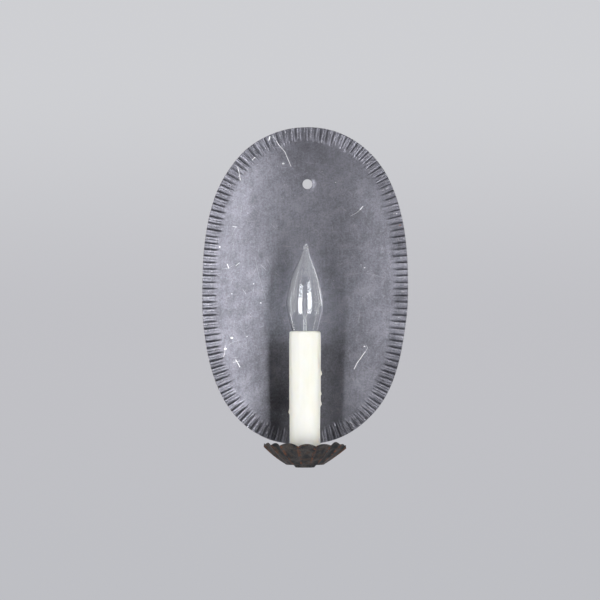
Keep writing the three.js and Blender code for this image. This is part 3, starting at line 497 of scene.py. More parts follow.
def tin_marks(tin, patch, cloud):
    """How bright the scratches, dots, hairlines and specks are, up to 1."""
    marks = []
    for line, width, strength in SCRATCHES:
        places = [on_plate(pixel) for pixel in line]
        marks += [tin.scratch(a, b, width, strength) for a, b in zip(places, places[1:])]
    for pixel, width, strength in DOTS:
        x, z = on_plate(pixel)
        marks.append(tin.scratch((x - width / 4, z), (x + width / 4, z), width, strength))
    broken = tin.steps(tin.noise(1.1, detail=2), 0.28, 0.45)
    deep = tin.times(tin.highest(marks), broken)
    hair = []
    for turn in HAIRLINE_TURNS:
        streak = tin.noise(1.1, detail=1, roughness=0.4, stretch=(1, 1, 0.03), turn=(0, turn, 0))
        hair.append(tin.steps(streak, 0.72, 0.78))
    fine = tin.times(tin.highest(hair), tin.steps(patch, 0.4, 0.55))
    specks = tin.times(tin.spots(5, 0.45), tin.steps(cloud, 0.5, 0.62))
    bright = tin.highest([deep, tin.times(fine, 0.07), tin.times(specks, 0.22)])
    bright = tin.math("MINIMUM", tin.times(bright, SCRATCH_CONTRAST), 1)
    return tin.times(bright, tin.front())


def tinned_sheet():
    tin = Finish("tinned_sheet")
    cloud = tin.noise(34, roughness=0.55, warp=0.4)
    patch = tin.noise(9, detail=4, warp=0.3)
    grain = tin.noise(1.5, roughness=0.75)
    wiped = tin.noise(3.5, roughness=0.65, stretch=(1, 1, 0.14))
    smeared = tin.noise(4, roughness=0.65, stretch=(1, 1, 0.2), turn=(0, 55, 0))
    tone = tin.times(cloud, 0.16)
    for layer, share in ((patch, 0.2), (grain, 0.38), (wiped, 0.14), (smeared, 0.12)):
        tone = tin.math("MULTIPLY_ADD", layer, share, tone)
    colour = tin.mix(tin.steps(tone, 0.38, 0.62), (0.16, 0.16, 0.186), (0.29, 0.29, 0.338))
    # Painted shade and light: the candle's painted shadow beside its foot, painted highlights along
    # the right-hand rim, and lighter and darker patches that paint the dish's reflections elsewhere
    for pixel, radius, gain in LIGHT_AND_SHADE_PATCHES:
        x, z = on_plate(pixel)
        away = tin.vector("DISTANCE", tin.on_wall(), (x, 0, z))
        colour = tin.scaled(colour, tin.steps(away, radius, 0, 1, 1 + gain))
    # Lighter tin along the crimps' fine lines: rubbed wear on the crests, and a painted sheen of the
    # lines
    rubbed_and_sheen = tin.steps(tin.noise(3, roughness=0.7), 0.52, 0.66)
    rubbed_and_sheen = tin.times(tin.steps(tin.relief_and_sheen(), 0.02, -0.25), rubbed_and_sheen)
    colour = tin.mix(tin.times(rubbed_and_sheen, 0.5), colour, (0.8, 0.8, 0.85))
    rust = []
    for (right, down), width in RUST_SPECKS:
        rust.append(tin.scratch(on_plate((right, down)), on_plate((right + 1, down)), width, 0.8))
    colour = tin.mix(tin.highest(rust), colour, (0.36, 0.16, 0.1))
    bright = tin_marks(tin, patch, cloud)
    tin.set("Base Color", tin.mix(bright, colour, (0.95, 0.95, 0.98)))
    tin.set("Metallic", tin.steps(bright, 0, 1, 1, 0.4))
    rough = tin.steps(tone, 0.3, 0.7, 0.37, 0.32)
    hollow = tin.steps(tin.relief_and_sheen(), 0.3, 1)
    tin.set("Roughness", tin.math("MULTIPLY_ADD", hollow, 0.12, rough))
    relief = tin.math("ADD", tin.times(grain, 0.5), tin.times(patch, 0.8))
    relief = tin.math("SUBTRACT", relief, tin.times(bright, 0.3))
    tin.set("Normal", tin.bump(relief, 0.12, 0.5))
    return tin.material


def dark_tin():
    tin = Finish("dark_tin", Metallic=0.75)
    patch = tin.noise(5, detail=4, roughness=0.65)
    cloud = tin.noise(7)
    grain = tin.noise(0.9, roughness=0.7)
    colour = tin.mix(tin.steps(cloud, 0.38, 0.62), (0.04, 0.045, 0.05), (0.118, 0.106, 0.1))
    colour = tin.mix(tin.steps(patch, 0.5, 0.68), colour, (0.112, 0.084, 0.07))
    colour = tin.mix(tin.steps(grain, 0.55, 0.75), colour, (0.02, 0.019, 0.019))
    streak = tin.noise(2.6, roughness=0.7)
    rust = tin.times(tin.steps(tin.relief_and_sheen(), 0.15, 0.9), tin.steps(streak, 0.42, 0.62))
    tin.set("Base Color", tin.mix(rust, colour, (0.22, 0.096, 0.056)))
    tin.set("Roughness", tin.steps(patch, 0.3, 0.7, 0.42, 0.6))
    tin.set("Normal", tin.bump(tin.math("MULTIPLY_ADD", grain, 0.5, patch), 0.2, 0.6))
    return tin.material


def ivory_plastic():
    wax = Finish("ivory_plastic", Roughness=0.42, Subsurface_Weight=0.25, Subsurface_Scale=0.004)
    wax.set("Subsurface Radius", (1.0, 0.8, 0.5))
    cloud = wax.noise(14, roughness=0.5, stretch=(1, 1, 0.35))
    grain = wax.noise(1.4)
    colour = wax.mix(wax.steps(cloud, 0.35, 0.65), (0.84, 0.825, 0.735), (0.87, 0.86, 0.81))
    thick = wax.steps(wax.relief_and_sheen(), 0.15, 1.0)
    colour = wax.mix(wax.times(thick, 0.6), colour, (0.88, 0.85, 0.7))
    edge = wax.add("LayerWeight", {"Blend": 0.35}).outputs["Facing"]
    wax.set("Base Color", wax.mix(edge, colour, (0.86, 0.84, 0.74)))
    wax.set("Normal", wax.bump(grain, 0.05, 0.35))
    return wax.material


def clear_glass():
    glass = Finish("clear_glass", Roughness=0.0, IOR=1.5, Transmission_Weight=1.0)
    smear = glass.noise(9)
    glass.set("Base Color", glass.mix(glass.steps(smear, 0.4, 0.7), (0.97, 0.985, 0.99), (1, 1, 1)))
    glass.set("Normal", glass.bump(glass.noise(22, detail=1, roughness=0.5), 0.1, 0.1))
    # Thin clear glass lets most of the lamps' light through to what stands behind it
    through = glass.add("BsdfTransparent", {"Color": (0.9, 0.9, 0.9)})
    glass.show_mixed(glass.times(glass.rays("Shadow"), 0.75), glass.shader, through)
    return glass.material


def plain(name, metallic, dark, light, rough_low, rough_high, size, grain):
    """Two colours in soft clouds, and a fine grain in the skin."""
    finish = Finish(name, Metallic=metallic)
    cloud = finish.noise(size, detail=4)
    finish.set("Base Color", finish.mix(finish.steps(cloud, 0.35, 0.65), dark, light))
    finish.set("Roughness", finish.steps(cloud, 0.3, 0.7, rough_low, rough_high))
    finish.set("Normal", finish.bump(finish.noise(*grain), 0.03, 0.4 + 0.1 * (1 - metallic)))
    return finish.material


def metal(name, dark, light, rough, size=4.0):
    return plain(name, 1.0, dark, light, rough + 0.12, rough, size, (size / 6, 3, 0.7))


def moulded(name, dark, light, rough, size=3.0):
    return plain(name, 0.0, dark, light, rough, rough + 0.1, size, (size / 8, 2))


finishes = {
    "tinned_sheet": tinned_sheet(),
    "dark_tin": dark_tin(),
    "ivory_plastic": ivory_plastic(),
    "clear_glass": clear_glass(),
}
# A kind, a name, the darkest and the lightest colour, and the roughness
for make, name, dark, light, *rest in (
    (metal, "plated_steel", (0.5, 0.5, 0.51), (0.7, 0.7, 0.72), 0.3),
    (metal, "brass", (0.45, 0.29, 0.1), (0.66, 0.46, 0.19), 0.28),
    (metal, "solder", (0.38, 0.38, 0.39), (0.6, 0.6, 0.61), 0.35, 1.5),
    (metal, "tungsten", (0.16, 0.16, 0.17), (0.34, 0.34, 0.36), 0.35, 1.0),
    (moulded, "phenolic", (0.02, 0.014, 0.011), (0.04, 0.028, 0.022), 0.4),
    (moulded, "fibre", (0.018, 0.018, 0.02), (0.04, 0.04, 0.045), 0.65),
    (moulded, "vitrite", (0.015, 0.01, 0.018), (0.035, 0.02, 0.035), 0.12),
    (moulded, "black_lead", (0.012, 0.012, 0.012), (0.03, 0.03, 0.03), 0.45),
    (moulded, "white_lead", (0.66, 0.65, 0.6), (0.78, 0.77, 0.73), 0.45),
):
    finishes[name] = make(name, dark, light, *rest)


# Plate

# How far the hand-cut edge lies inside the even oval, as (direction in degrees, millimetres), with
# 0 degrees towards +X and 90 upwards
EDGE_INSETS = (
    (0, 0), (52, 0), (73, 1.3), (88, 0.8), (107, 2.9), (118, 2.6), (137, 1.2), (166, 0.9), (205, 0.1),
    (240, -1.1), (256, -0.8), (270, 0), (292, 1.3), (306, 0.4), (331, 1), (350, 0), (360, 0),
)


def edge_inset(place):
    direction = math.degrees(math.atan2(place.y, place.x)) % 360
    for (start, first), (end, second) in zip(EDGE_INSETS, EDGE_INSETS[1:]):
        if start <= direction <= end:
            return first + (second - first) * fade(direction, start, end)
    return 0.0


def rim_samples(count):
    """Places on the plate's edge at equal steps of its length, each with the way in, both as (x, z)."""
    fine = 16384
    outline = []
    for i in range(fine + 1):
        turn = 2 * math.pi * i / fine
        across = abs(math.cos(turn)) / plate_high.x
        up = abs(math.sin(turn)) / plate_high.z
        radius = (across ** PLATE_FULLNESS + up ** PLATE_FULLNESS) ** (-1 / PLATE_FULLNESS)
        outline.append(Vector((radius * math.cos(turn), radius * math.sin(turn))))
    lengths = [0.0]
    for a, b in zip(outline, outline[1:]):
        lengths.append(lengths[-1] + (b - a).length)
    samples = []
    k = 0
    for i in range(count):
        target = lengths[-1] * i / count
        while lengths[k + 1] < target:
            k += 1
        share = (target - lengths[k]) / (lengths[k + 1] - lengths[k])
        along = (outline[k + 1] - outline[k]).normalized()
        place = outline[k].lerp(outline[k + 1], share)
        inward = Vector((-along.y, along.x))
        samples.append((place + inward * edge_inset(place), inward))
    return samples


def dish_share(outward):
    """The dish's curve from the middle, which runs on straight over the rim."""
    curved = min(outward, PLATE_SLOPE_START_SHARE)
    slope = PLATE_DISH_POWER * curved ** (PLATE_DISH_POWER - 1)
    return curved ** PLATE_DISH_POWER + slope * (outward - curved)


def dish_depth(x, z):
    across = abs(x) / plate_high.x
    up = abs(z) / plate_high.z
    outward = (across ** PLATE_FULLNESS + up ** PLATE_FULLNESS) ** (1 / PLATE_FULLNESS)
    return PLATE_DISH * dish_share(outward) / dish_share(1)


def plate_surface(x, z):
    """How far the sheet's rear stands forward, with the slight waves of hand work."""
    place = Vector((x, z, 0)) / PLATE_WAVE_LENGTH
    wave = PLATE_WAVE * (1 + noise.noise(place)) / 2
    from_edge = 1 - fade(math.hypot(x / plate_high.x, z / plate_high.z), *PLATE_WAVE_FADE_SHARES)
    from_hole = math.hypot(x - HOLE_PLACE[0], z - HOLE_PLACE[1]) - HOLE_RADIUS
    towards = math.atan2(z - HOLE_PLACE[1], x - HOLE_PLACE[0]) - math.radians(BURR_DIRECTION)
    uneven = 1 - BURR_UNEVEN_SHARE + BURR_UNEVEN_SHARE * math.cos(towards)
    burr = BURR_HEIGHT * bell(from_hole, 0, BURR_REACH) * uneven
    return dish_depth(x, z) + wave * from_edge + burr


def crimp_values():
    """For each crimp: the shift of its groove as a share of the pitch, its depth as a share of the
    full depth, its added length, and how strong its fine lines are."""
    chance = random.Random(7)
    return [[chance.uniform(low, high) for low, high in CRIMP_RANGES] for _ in range(CRIMP_COUNT)]


def make_plate():
    skin = Skin()
    edge = rim_samples(CRIMP_COUNT * CRIMP_STEPS)
    crimps = crimp_values()

    def groove(i, inset):
        phase = i / CRIMP_STEPS
        crimp = int(phase) % CRIMP_COUNT
        shift, depth, longer, lines = crimps[crimp]
        away = phase - int(phase) - 0.5
        away -= shift * (1 - 4 * away ** 2)
        crest = abs(math.sin(math.pi * away))
        hollow = (1 - crest) ** CRIMP_SHARPNESS
        length = CRIMP_LENGTH + longer
        strength = 1 - fade(inset, length - CRIMP_FADE, length + CRIMP_FADE / 3)
        ripple = crest ** 2 * (1 + math.cos(2 * math.pi * CRIMP_LINES * away)) / 2
        return depth * hollow * strength, ripple * strength * lines

    def crimp_ring(inset, sheet):
        points, values = [], []
        for i, (place, inward) in enumerate(edge):
            x, z = place + inward * inset
            pressed, ripple = groove(i, inset)
            y = CRIMP_DEPTH * pressed + CRIMP_LINE_DEPTH * ripple
            points.append((x, y - plate_surface(x, z) - sheet, z))
            # The kept value is the groove's depth, lowered along the fine lines, where the tin is
            # painted lighter as a sheen and rubbed wear
            values.append(pressed - CRIMP_LINE_SHINE * (2 * ripple - 1) * (1 - pressed))
        return skin.ring(points, values)

    middle = Vector(HOLE_PLACE)
    every = len(edge) // MIDDLE_STEPS
    rays = [place + inward * CRIMP_ZONE - middle for place, inward in edge[::every]]

    def middle_ring(start, share, sheet):
        points = []
        for ray in rays:
            x, z = middle + ray.normalized() * (start + (ray.length - start) * share)
            points.append((x, -plate_surface(x, z) - sheet, z))
        return skin.ring(points)

    def face(sheet):
        spans = [middle_ring(HOLE_RADIUS + out, 0, sheet) for out in HOLE_RINGS]
        start = HOLE_RADIUS + HOLE_RINGS[-1]
        spans += [middle_ring(start, k / MIDDLE_RINGS, sheet) for k in range(1, MIDDLE_RINGS)]
        return spans + [crimp_ring(inset, sheet) for inset in reversed(CRIMP_INSETS)]

    front = face(PLATE_SHEET)
    front += [crimp_ring(PLATE_EDGE_ROUND, PLATE_SHEET), crimp_ring(0, PLATE_SHEET - PLATE_EDGE_ROUND)]
    rear = face(0)
    rear += [crimp_ring(PLATE_EDGE_ROUND, 0), crimp_ring(0, PLATE_EDGE_ROUND)]
    skin.close(front + rear[::-1], runs_on=True)
    return make_piece("plate_sheet", skin, "tinned_sheet", "root", "back_plate")


make_plate()


# Drip pan

# Hand-made differences of the flutes, from the ridge nearest the front and on towards +X
RIDGE_SHIFT_DEGREES = (0, 2, 2.3, 0.2, -1.5, 0.8, 1.9, -1.2, 0.6, -0.9, 1.6, -2, 0.7, 0.5, 0.4, -4.9)
RIDGE_LIFT = (-0.4, -0.4, 0.2, 0.1, -2.2, -2, -2.2, -1.9, -1.7, -1.9, -2, -1.7, -1, -0.6, 0.3, 0.2)
PETAL_RISE = (2.1, 1.7, 2.9, 2.1, 2, 2.4, 1.3, 1.6, 1.8, 1.5, 1.1, 2.2, 2.4, 2.4, 2, 2.4)
PETAL_HOLLOW = 0.9
WALL_SAG = 0.8
WALL_SAG_UNEVEN_SHARE = 0.4
RIDGE_WIDTH_SHARE = 0.13
FLOOR_RING_SHARES = (0, 0.3, 0.6, 0.9)
SLOT_EDGE = 0.5
SLOT_FULLNESS = 4


def make_pan():
    skin = Skin()
    count = FLUTE_COUNT * FLUTE_STEPS
    slot_low, slot_high = box_mm("pan_bushing")
    slot = Vector(((slot_low.x + slot_high.x) / 2, (slot_low.y + slot_high.y) / 2 - AXIS_Y))
    slot_half = Vector((slot_high.x - slot_low.x, slot_high.y - slot_low.y)) / 2
    slot_half -= Vector((SLOT_EDGE, SLOT_EDGE))
    slope = math.hypot(1, PAN_RISE / (PAN_RADIUS - PAN_FLOOR_RADIUS))

    def turn_at(i):
        flute, step = divmod(i, FLUTE_STEPS)
        step_degrees = 360 / FLUTE_COUNT
        here = flute * step_degrees + RIDGE_SHIFT_DEGREES[flute]
        after = (flute + 1) * step_degrees + RIDGE_SHIFT_DEGREES[(flute + 1) % FLUTE_COUNT]
        return math.radians(here + (after - here) * step / FLUTE_STEPS + FLUTE_TURN - 90)

    def wall_ring(share, sheet):
        points, values = [], []
        for i in range(count):
            flute, step = divmod(i, FLUTE_STEPS)
            across = step / FLUTE_STEPS
            arch = 1 - (2 * across - 1) ** 2
            after = (flute + 1) % FLUTE_COUNT
            lift = RIDGE_LIFT[flute] * (1 - across) + RIDGE_LIFT[after] * across
            turn = turn_at(i)
            radius = PAN_FLOOR_RADIUS + (PAN_RADIUS - PAN_FLOOR_RADIUS) * share
            radius -= PETAL_HOLLOW * arch * share
            height = pan_low.z + (PAN_RISE + lift) * share + PETAL_RISE[flute] * arch * share
            sag = WALL_SAG * (1 - WALL_SAG_UNEVEN_SHARE * math.cos(turn))
            height -= sag * 4 * share * (1 - share)
            thick = sheet * (slope if share > 0 else 1)
            points.append(round_axis(radius, turn, height + thick))
            ridge = bell(min(across, 1 - across), 0, RIDGE_WIDTH_SHARE)
            values.append(ridge if share > 0 else 0)
        return skin.ring(points, values)

    def floor_ring(share, sheet):
        points = []
        for i in range(count):
            turn = turn_at(i)
            rim = Vector((math.cos(turn), math.sin(turn))) * PAN_FLOOR_RADIUS - slot
            way = rim.normalized()
            across, along = abs(way.x) / slot_half.x, abs(way.y) / slot_half.y
            inner = (across ** SLOT_FULLNESS + along ** SLOT_FULLNESS) ** (-1 / SLOT_FULLNESS)
            x, y = slot + way * (inner + (rim.length - inner) * share)
            points.append((x, AXIS_Y + y, pan_low.z + sheet))
        return skin.ring(points)

    def face(sheet):
        spans = [floor_ring(share, sheet) for share in FLOOR_RING_SHARES]
        return spans + [wall_ring(k / WALL_RINGS, sheet) for k in range(WALL_RINGS + 1)]

    skin.close(face(PAN_SHEET) + face(0)[::-1], runs_on=True)
    return make_piece("pan_sheet", skin, "dark_tin", "root", "drip_pan", sharp=50)


make_pan()


# Candle sleeve

# Drips as (turn from +X in degrees, top and end as depth below the sleeve's top, half width, ridge
# height, bulges as (depth, height, half length))
DRIPS = (
    (2, 2, 64.8, 1.5, 0.4, ((36.4, 1.5, 2.8), (53.6, 1.1, 2.2), (62.2, 1.25, 2.6))),
    (183, 6, 71, 1.3, 0.25, ((69, 0.95, 2.4),)),
    (-38, 1, 42, 1.8, 0.3, ((40, 0.55, 2.8),)),
    (-72, 0, 88, 1.6, 0.28, ((60, 0.3, 5.0), (86, 0.5, 2.6))),
    (-112, 1, 58, 1.9, 0.3, ((56, 0.5, 3.0),)),
    (-150, 3, 33, 1.4, 0.26, ((31, 0.55, 2.6),)),
    (35, 0, 52, 1.7, 0.4, ((30, 0.5, 4.0), (50, 0.85, 2.8))),
    (68, 2, 83, 1.5, 0.42, ((80, 0.95, 3.0),)),
    (101, 0, 40, 1.9, 0.4, ((37, 1.0, 3.2),)),
    (137, 1, 74, 1.6, 0.38, ((45, 0.4, 4.0), (71, 0.9, 2.8))),
    (158, 0, 26, 1.4, 0.35, ((24, 0.75, 2.6),)),
)
DRIP_SWAY = 0.5
DRIP_SWAY_LENGTH = 9
DRIP_SWAY_DEPTH = 20
# How far a drip's ridge takes to rise at its top, and to end round its lower end
DRIP_RISE = 3
DRIP_END_ABOVE = 2.5
DRIP_END_BELOW = 0.8
DRIP_REACH_SHARE = 4
WAX_FOOT_SHARE = 0.03
WAX_RIM_SHARE = 0.1
# A bulge's length above and below its middle, and its width, as shares of its half sizes
BULGE_ABOVE_SHARE = 1.1
BULGE_BELOW_SHARE = 0.55
BULGE_WIDTH_SHARE = 1.15


def drip_height(turn, depth):
    """How far the wax stands out of the plain sleeve."""
    height = 0.0
    for middle, top, end, half_width, ridge, bulges in DRIPS:
        away = (math.degrees(turn) - middle + 180) % 360 - 180
        sway = DRIP_SWAY * math.sin(depth / DRIP_SWAY_LENGTH + middle)
        across = math.radians(away) * SLEEVE_RADIUS + sway * fade(depth, 0, DRIP_SWAY_DEPTH)
        if abs(across) > DRIP_REACH_SHARE * half_width:
            continue
        begun = fade(depth, top - DRIP_RISE, top + DRIP_RISE)
        ended = fade(depth, end - DRIP_END_ABOVE, end + DRIP_END_BELOW)
        height = max(height, ridge * begun * (1 - ended) * bell(across, 0, half_width))
        for at, bulge, half_length in bulges:
            reach = half_length * (BULGE_BELOW_SHARE if depth > at else BULGE_ABOVE_SHARE)
            drop = bell(depth, at, reach) * bell(across, 0, BULGE_WIDTH_SHARE * half_width)
            height = max(height, bulge * drop)
    return height


def make_sleeve():
    skin = Skin()
    top, foot = sleeve_high.z - SLEEVE_SHORTER, sleeve_low.z
    bore = SLEEVE_RADIUS - SLEEVE_WALL
    turns = [2 * math.pi * i / SLEEVE_STEPS for i in range(SLEEVE_STEPS)]

    def ring(radius, height, wax):
        depth = top - height
        points, values = [], []
        for turn in turns:
            drip = drip_height(turn, depth) * wax
            place = Vector((2 * math.cos(turn), 2 * math.sin(turn), height / SLEEVE_WAVE_LENGTH))
            out = radius + drip + SLEEVE_WAVE * noise.noise(place) * wax
            points.append(round_axis(out, turn, height))
            values.append(drip)
        return skin.ring(points, values)

    spans = [ring(bore, foot, 0)]
    for k in range(SLEEVE_ROWS + 1):
        share = k / SLEEVE_ROWS
        height = foot + (top - SLEEVE_EDGE - foot) * share
        radius = SLEEVE_FOOT_RADIUS + (SLEEVE_RADIUS - SLEEVE_FOOT_RADIUS) * share
        spans.append(ring(radius, height, fade(share, 0, WAX_FOOT_SHARE)))
    for k in range(1, SLEEVE_EDGE_RINGS + 1):
        share = k / SLEEVE_EDGE_RINGS
        turn = math.pi / 2 * share
        radius = SLEEVE_RADIUS - SLEEVE_EDGE * (1 - math.cos(turn))
        wax = 1 - (1 - WAX_RIM_SHARE) * share
        spans.append(ring(radius, top - SLEEVE_EDGE * (1 - math.sin(turn)), wax))
    spans.append(ring(bore + SLEEVE_INNER_EDGE, top, 0))
    spans.append(ring(bore, top - SLEEVE_INNER_EDGE, 0))
    skin.close(spans, runs_on=True)
    return make_piece("candle_cover", skin, "ivory_plastic", "sleeve", "candle_sleeve")


make_sleeve()


# Bulb

def lifted(outline):
    """The same outline, with its heights over the rim of the bulb's base made into real heights."""
    return [(radius, BASE_RIM + height) for radius, height in outline]


def make_glass():
    points = [(share * BULB_RADIUS, 0, up * GLASS_HEIGHT) for share, up in BULB_OUTLINE_SHARES]
    outer = [(p.x, p.z) for p in smooth_line(points[::-1], CURVE_STEPS)]
    tip_radius, tip_height = outer[0]
    tip_steps = 8
    tip = []
    for k in range(tip_steps):
        turn = math.pi / 2 * k / tip_steps
        height = tip_height + (GLASS_HEIGHT - tip_height) * math.cos(turn)
        tip.append((tip_radius * math.sin(turn), height))
    inner = [(radius - GLASS_WALL, height) for radius, height in outer if radius > 2 * GLASS_WALL]
    neck = NECK_RADIUS
    outline = tip + outer
    outline += [(neck, -COLLAR_HEIGHT), (neck, -NECK_DEPTH)]
    outline += [(neck - GLASS_WALL, -NECK_DEPTH), (neck - GLASS_WALL, -COLLAR_HEIGHT)]
    outline += inner[::-1] + [(0, inner[0][1] + 2 * GLASS_WALL)]
    lean_start = TIP_LEAN_SHARE * GLASS_HEIGHT

    def centre(height):
        lean = max(0.0, (height - BASE_RIM - lean_start) / (GLASS_HEIGHT - lean_start))
        return TIP_SHIFT * lean ** 2, AXIS_Y

    skin = turned(lifted(outline), GLASS_STEPS, centre)
    return make_piece("glass_envelope", skin, "clear_glass", "bulb", "bulb_glass", sharp=60)


# Inside of the bulb, with heights over the rim of its base
_, stem_high = box_mm("bulb_stem")
_, filament_high = box_mm("filament")
STEM_TOP = stem_high.z - BASE_RIM
STEM_GAP = 0.3
STEM_WALL = 0.6
STEM_FOOT_HEIGHT = -4.9
STEM_FLARE_HEIGHT = -3.5
STEM_INNER_FLARE_HEIGHT = -3.4
STEM_STEPS = 48
# Outside of the stem as (radius, depth below its top), then as (radius, height)
STEM_TOP_OUTLINE = ((0, 0), (0.7, 0.1), (1.3, 0.5), (1.6, 1.2), (1.5, 2.4), (1.45, 5))
STEM_OUTLINE = ((1.7, 15), (1.9, 12), (2.2, 8.5), (2.5, 4.8), (2.9, 1.5))
STEM_INNER_OUTLINE = ((2.2, 1.2), (1.9, 3.0), (0, 3.3))
WIRE_RADIUS = 0.22
WIRE_HALF_SPACING = 0.75
WIRE_BEND_HEIGHT = 1.2
WIRE_PRESS_HEIGHT = 4.5
WIRE_MIDDLE_HEIGHT = 13
WIRE_TIP_HEIGHT = 30
WIRE_TIP_HALF_SPACING = 3
FILAMENT_TOP = filament_high.z - BASE_RIM
FILAMENT_HALF_TOP = 1.65
FILAMENT_SHOULDER = 3.3
FILAMENT_GAP = 0.3
COIL_RADIUS = 0.24
COIL_WIRE = 0.07
COIL_PITCH = 0.34
COIL_STEPS = 8
COIL_SIDES = 5
CURVE_STEPS = 10
FILAMENT_STEPS = 40


def make_stem():
    foot = NECK_RADIUS - GLASS_WALL - STEM_GAP
    outline = [(radius, STEM_TOP - depth) for radius, depth in STEM_TOP_OUTLINE]
    inside = foot - STEM_WALL
    outline += [*STEM_OUTLINE, (foot, STEM_FLARE_HEIGHT), (foot, STEM_FOOT_HEIGHT)]
    outline += [(inside, STEM_FOOT_HEIGHT), (inside, STEM_INNER_FLARE_HEIGHT), *STEM_INNER_OUTLINE]
    skin = turned(lifted(outline), STEM_STEPS, lambda height: (0, AXIS_Y))
    return make_piece("glass_stem", skin, "clear_glass", "bulb", "bulb_stem", sharp=60)


def bulb_line(route, steps):
    """A smooth line through (x, height) places on the bulb's middle plane."""
    return smooth_line([(x, AXIS_Y, BASE_RIM + height) for x, height in route], steps)


def make_bulb_wire(side, name, node):
    low, high = box_mm(node)
    foot_x = 0 if side < 0 else high.x - 2 * WIRE_RADIUS
    foot = low.z - BASE_RIM + WIRE_RADIUS
    x = side * WIRE_HALF_SPACING
    line = bulb_line([
        (foot_x, foot), (foot_x, foot + WIRE_BEND_HEIGHT), (x, -NECK_DEPTH), (x, WIRE_PRESS_HEIGHT),
        (x, WIRE_MIDDLE_HEIGHT), (x, STEM_TOP), (x, STEM_TOP + WIRE_BEND_HEIGHT),
        (side * WIRE_TIP_HALF_SPACING, WIRE_TIP_HEIGHT),
    ], CURVE_STEPS)
    return make_piece(name, tube(line, WIRE_RADIUS), "plated_steel", "bulb", node, sharp=60)


def make_filament():
    foot, top = WIRE_TIP_HALF_SPACING, FILAMENT_HALF_TOP
    ends, shoulders = WIRE_TIP_HEIGHT + FILAMENT_GAP, FILAMENT_TOP - FILAMENT_SHOULDER
    peak = FILAMENT_TOP - FILAMENT_GAP
    route = [(-foot, ends), (-top, shoulders), (0, peak), (top, shoulders), (foot, ends)]
    middle = bulb_line(route, FILAMENT_STEPS)
    coil = []
    travelled = 0.0
    for a, b in zip(middle, middle[1:]):
        across = Vector((0, 1, 0))
        other = (b - a).normalized().cross(across)
        pieces = max(1, round((b - a).length / COIL_PITCH * COIL_STEPS))
        for k in range(pieces):
            place = a.lerp(b, k / pieces)
            turn = 2 * math.pi * (travelled + (place - a).length) / COIL_PITCH
            out = across * math.cos(turn) + other * math.sin(turn)
            coil.append(place + out * (COIL_RADIUS - COIL_WIRE))
        travelled += (b - a).length
    skin = tube(coil, COIL_WIRE, COIL_SIDES)
    return make_piece("filament_coil", skin, "tungsten", "bulb", "filament", sharp=80)


bulb_pieces = (
    make_glass(),
    make_stem(),
    make_bulb_wire(-1, "left_lead_in_wire", "bulb_wire_left"),
    make_bulb_wire(1, "right_lead_in_wire", "bulb_wire_right"),
    make_filament(),
)


# Brass threads

THREAD_RADIUS = 5.695
THREAD_CLEARANCE = 0.35
THREAD_PITCH = 2.54
THREAD_HEIGHT = 0.5
THREAD_STEPS = 72
THREAD_ROWS = 12
BASE_COLLAR_RADIUS = 6.4
BASE_COLLAR_END = -1.2
BASE_EDGE = 0.1
BASE_WALL = 0.3
BASE_BORE_RADIUS = 5.1
BASE_CURL_RADIUS = 4.2
BASE_CURL_HEIGHT = 0.4
BASE_THREAD_TOP = -1.6
SHELL_WALL = 0.3
SHELL_THREAD_LENGTH = 10
SHELL_THREAD_RUNOUT = 0.5
SHELL_BORE_RADIUS = 3.5


def thread_skin(above, thread, below):
    """A body from (radius, height) points with a (radius, top, bottom) thread between them. Heights are
    over the rim of the bulb's base."""
    mean, top, bottom = thread
    rows = math.ceil(THREAD_ROWS * (top - bottom) / THREAD_PITCH)
    outline = [(*point, 0) for point in above]
    outline += [(mean, top + (bottom - top) * i / rows, THREAD_HEIGHT / 2) for i in range(rows + 1)]
    outline += [(*point, 0) for point in below]
    skin = Skin()
    spans = []
    for radius, height, swing in outline:
        ring = []
        for i in range(THREAD_STEPS):
            turn = 2 * math.pi * i / THREAD_STEPS
            reach = radius + swing * math.cos(2 * math.pi * height / THREAD_PITCH - turn)
            ring.append(round_axis(reach, turn, BASE_RIM + height))
        spans.append(skin.ring(ring))
    skin.close(spans, runs_on=True)
    return skin


def make_bulb_base():
    foot = base_low.z - BASE_RIM
    collar, bore, curl = BASE_COLLAR_RADIUS, BASE_BORE_RADIUS, BASE_CURL_RADIUS
    inside = collar - BASE_WALL
    curl_top = foot + BASE_CURL_HEIGHT
    skin = thread_skin(
        [
            (inside, 0), (collar - BASE_EDGE, 0), (collar, -BASE_EDGE), (collar, -COLLAR_HEIGHT),
            (inside, BASE_COLLAR_END),
        ],
        (THREAD_RADIUS, BASE_THREAD_TOP, foot + 2 * BASE_CURL_HEIGHT),
        [
            (bore, foot + BASE_EDGE), (bore - 2 * BASE_EDGE, foot), (curl, foot), (curl, curl_top),
            (bore, curl_top), (bore, BASE_THREAD_TOP), (inside, -COLLAR_HEIGHT),
        ],
    )
    return make_piece("screw_base", skin, "brass", "bulb", "bulb_base")


def make_socket_shell():
    low, high = box_mm("socket_shell")
    foot, top = low.z - BASE_RIM, high.z - BASE_RIM
    mean = THREAD_RADIUS + THREAD_CLEARANCE
    inner = mean + THREAD_HEIGHT / 2
    outer = inner + SHELL_WALL
    thread_end = top - SHELL_THREAD_LENGTH
    floor, bore = foot + SHELL_WALL, SHELL_BORE_RADIUS
    skin = thread_skin(
        [(outer, foot), (outer, top)],
        (mean, top, thread_end),
        [(inner, thread_end - SHELL_THREAD_RUNOUT), (inner, floor), (bore, floor), (bore, foot)],
    )
    return make_piece("threaded_shell", skin, "brass", "root", "socket_shell")


make_bulb_base()
make_socket_shell()


# Rivets, bushings and the pieces that keep their CAD shape, with rounded edges

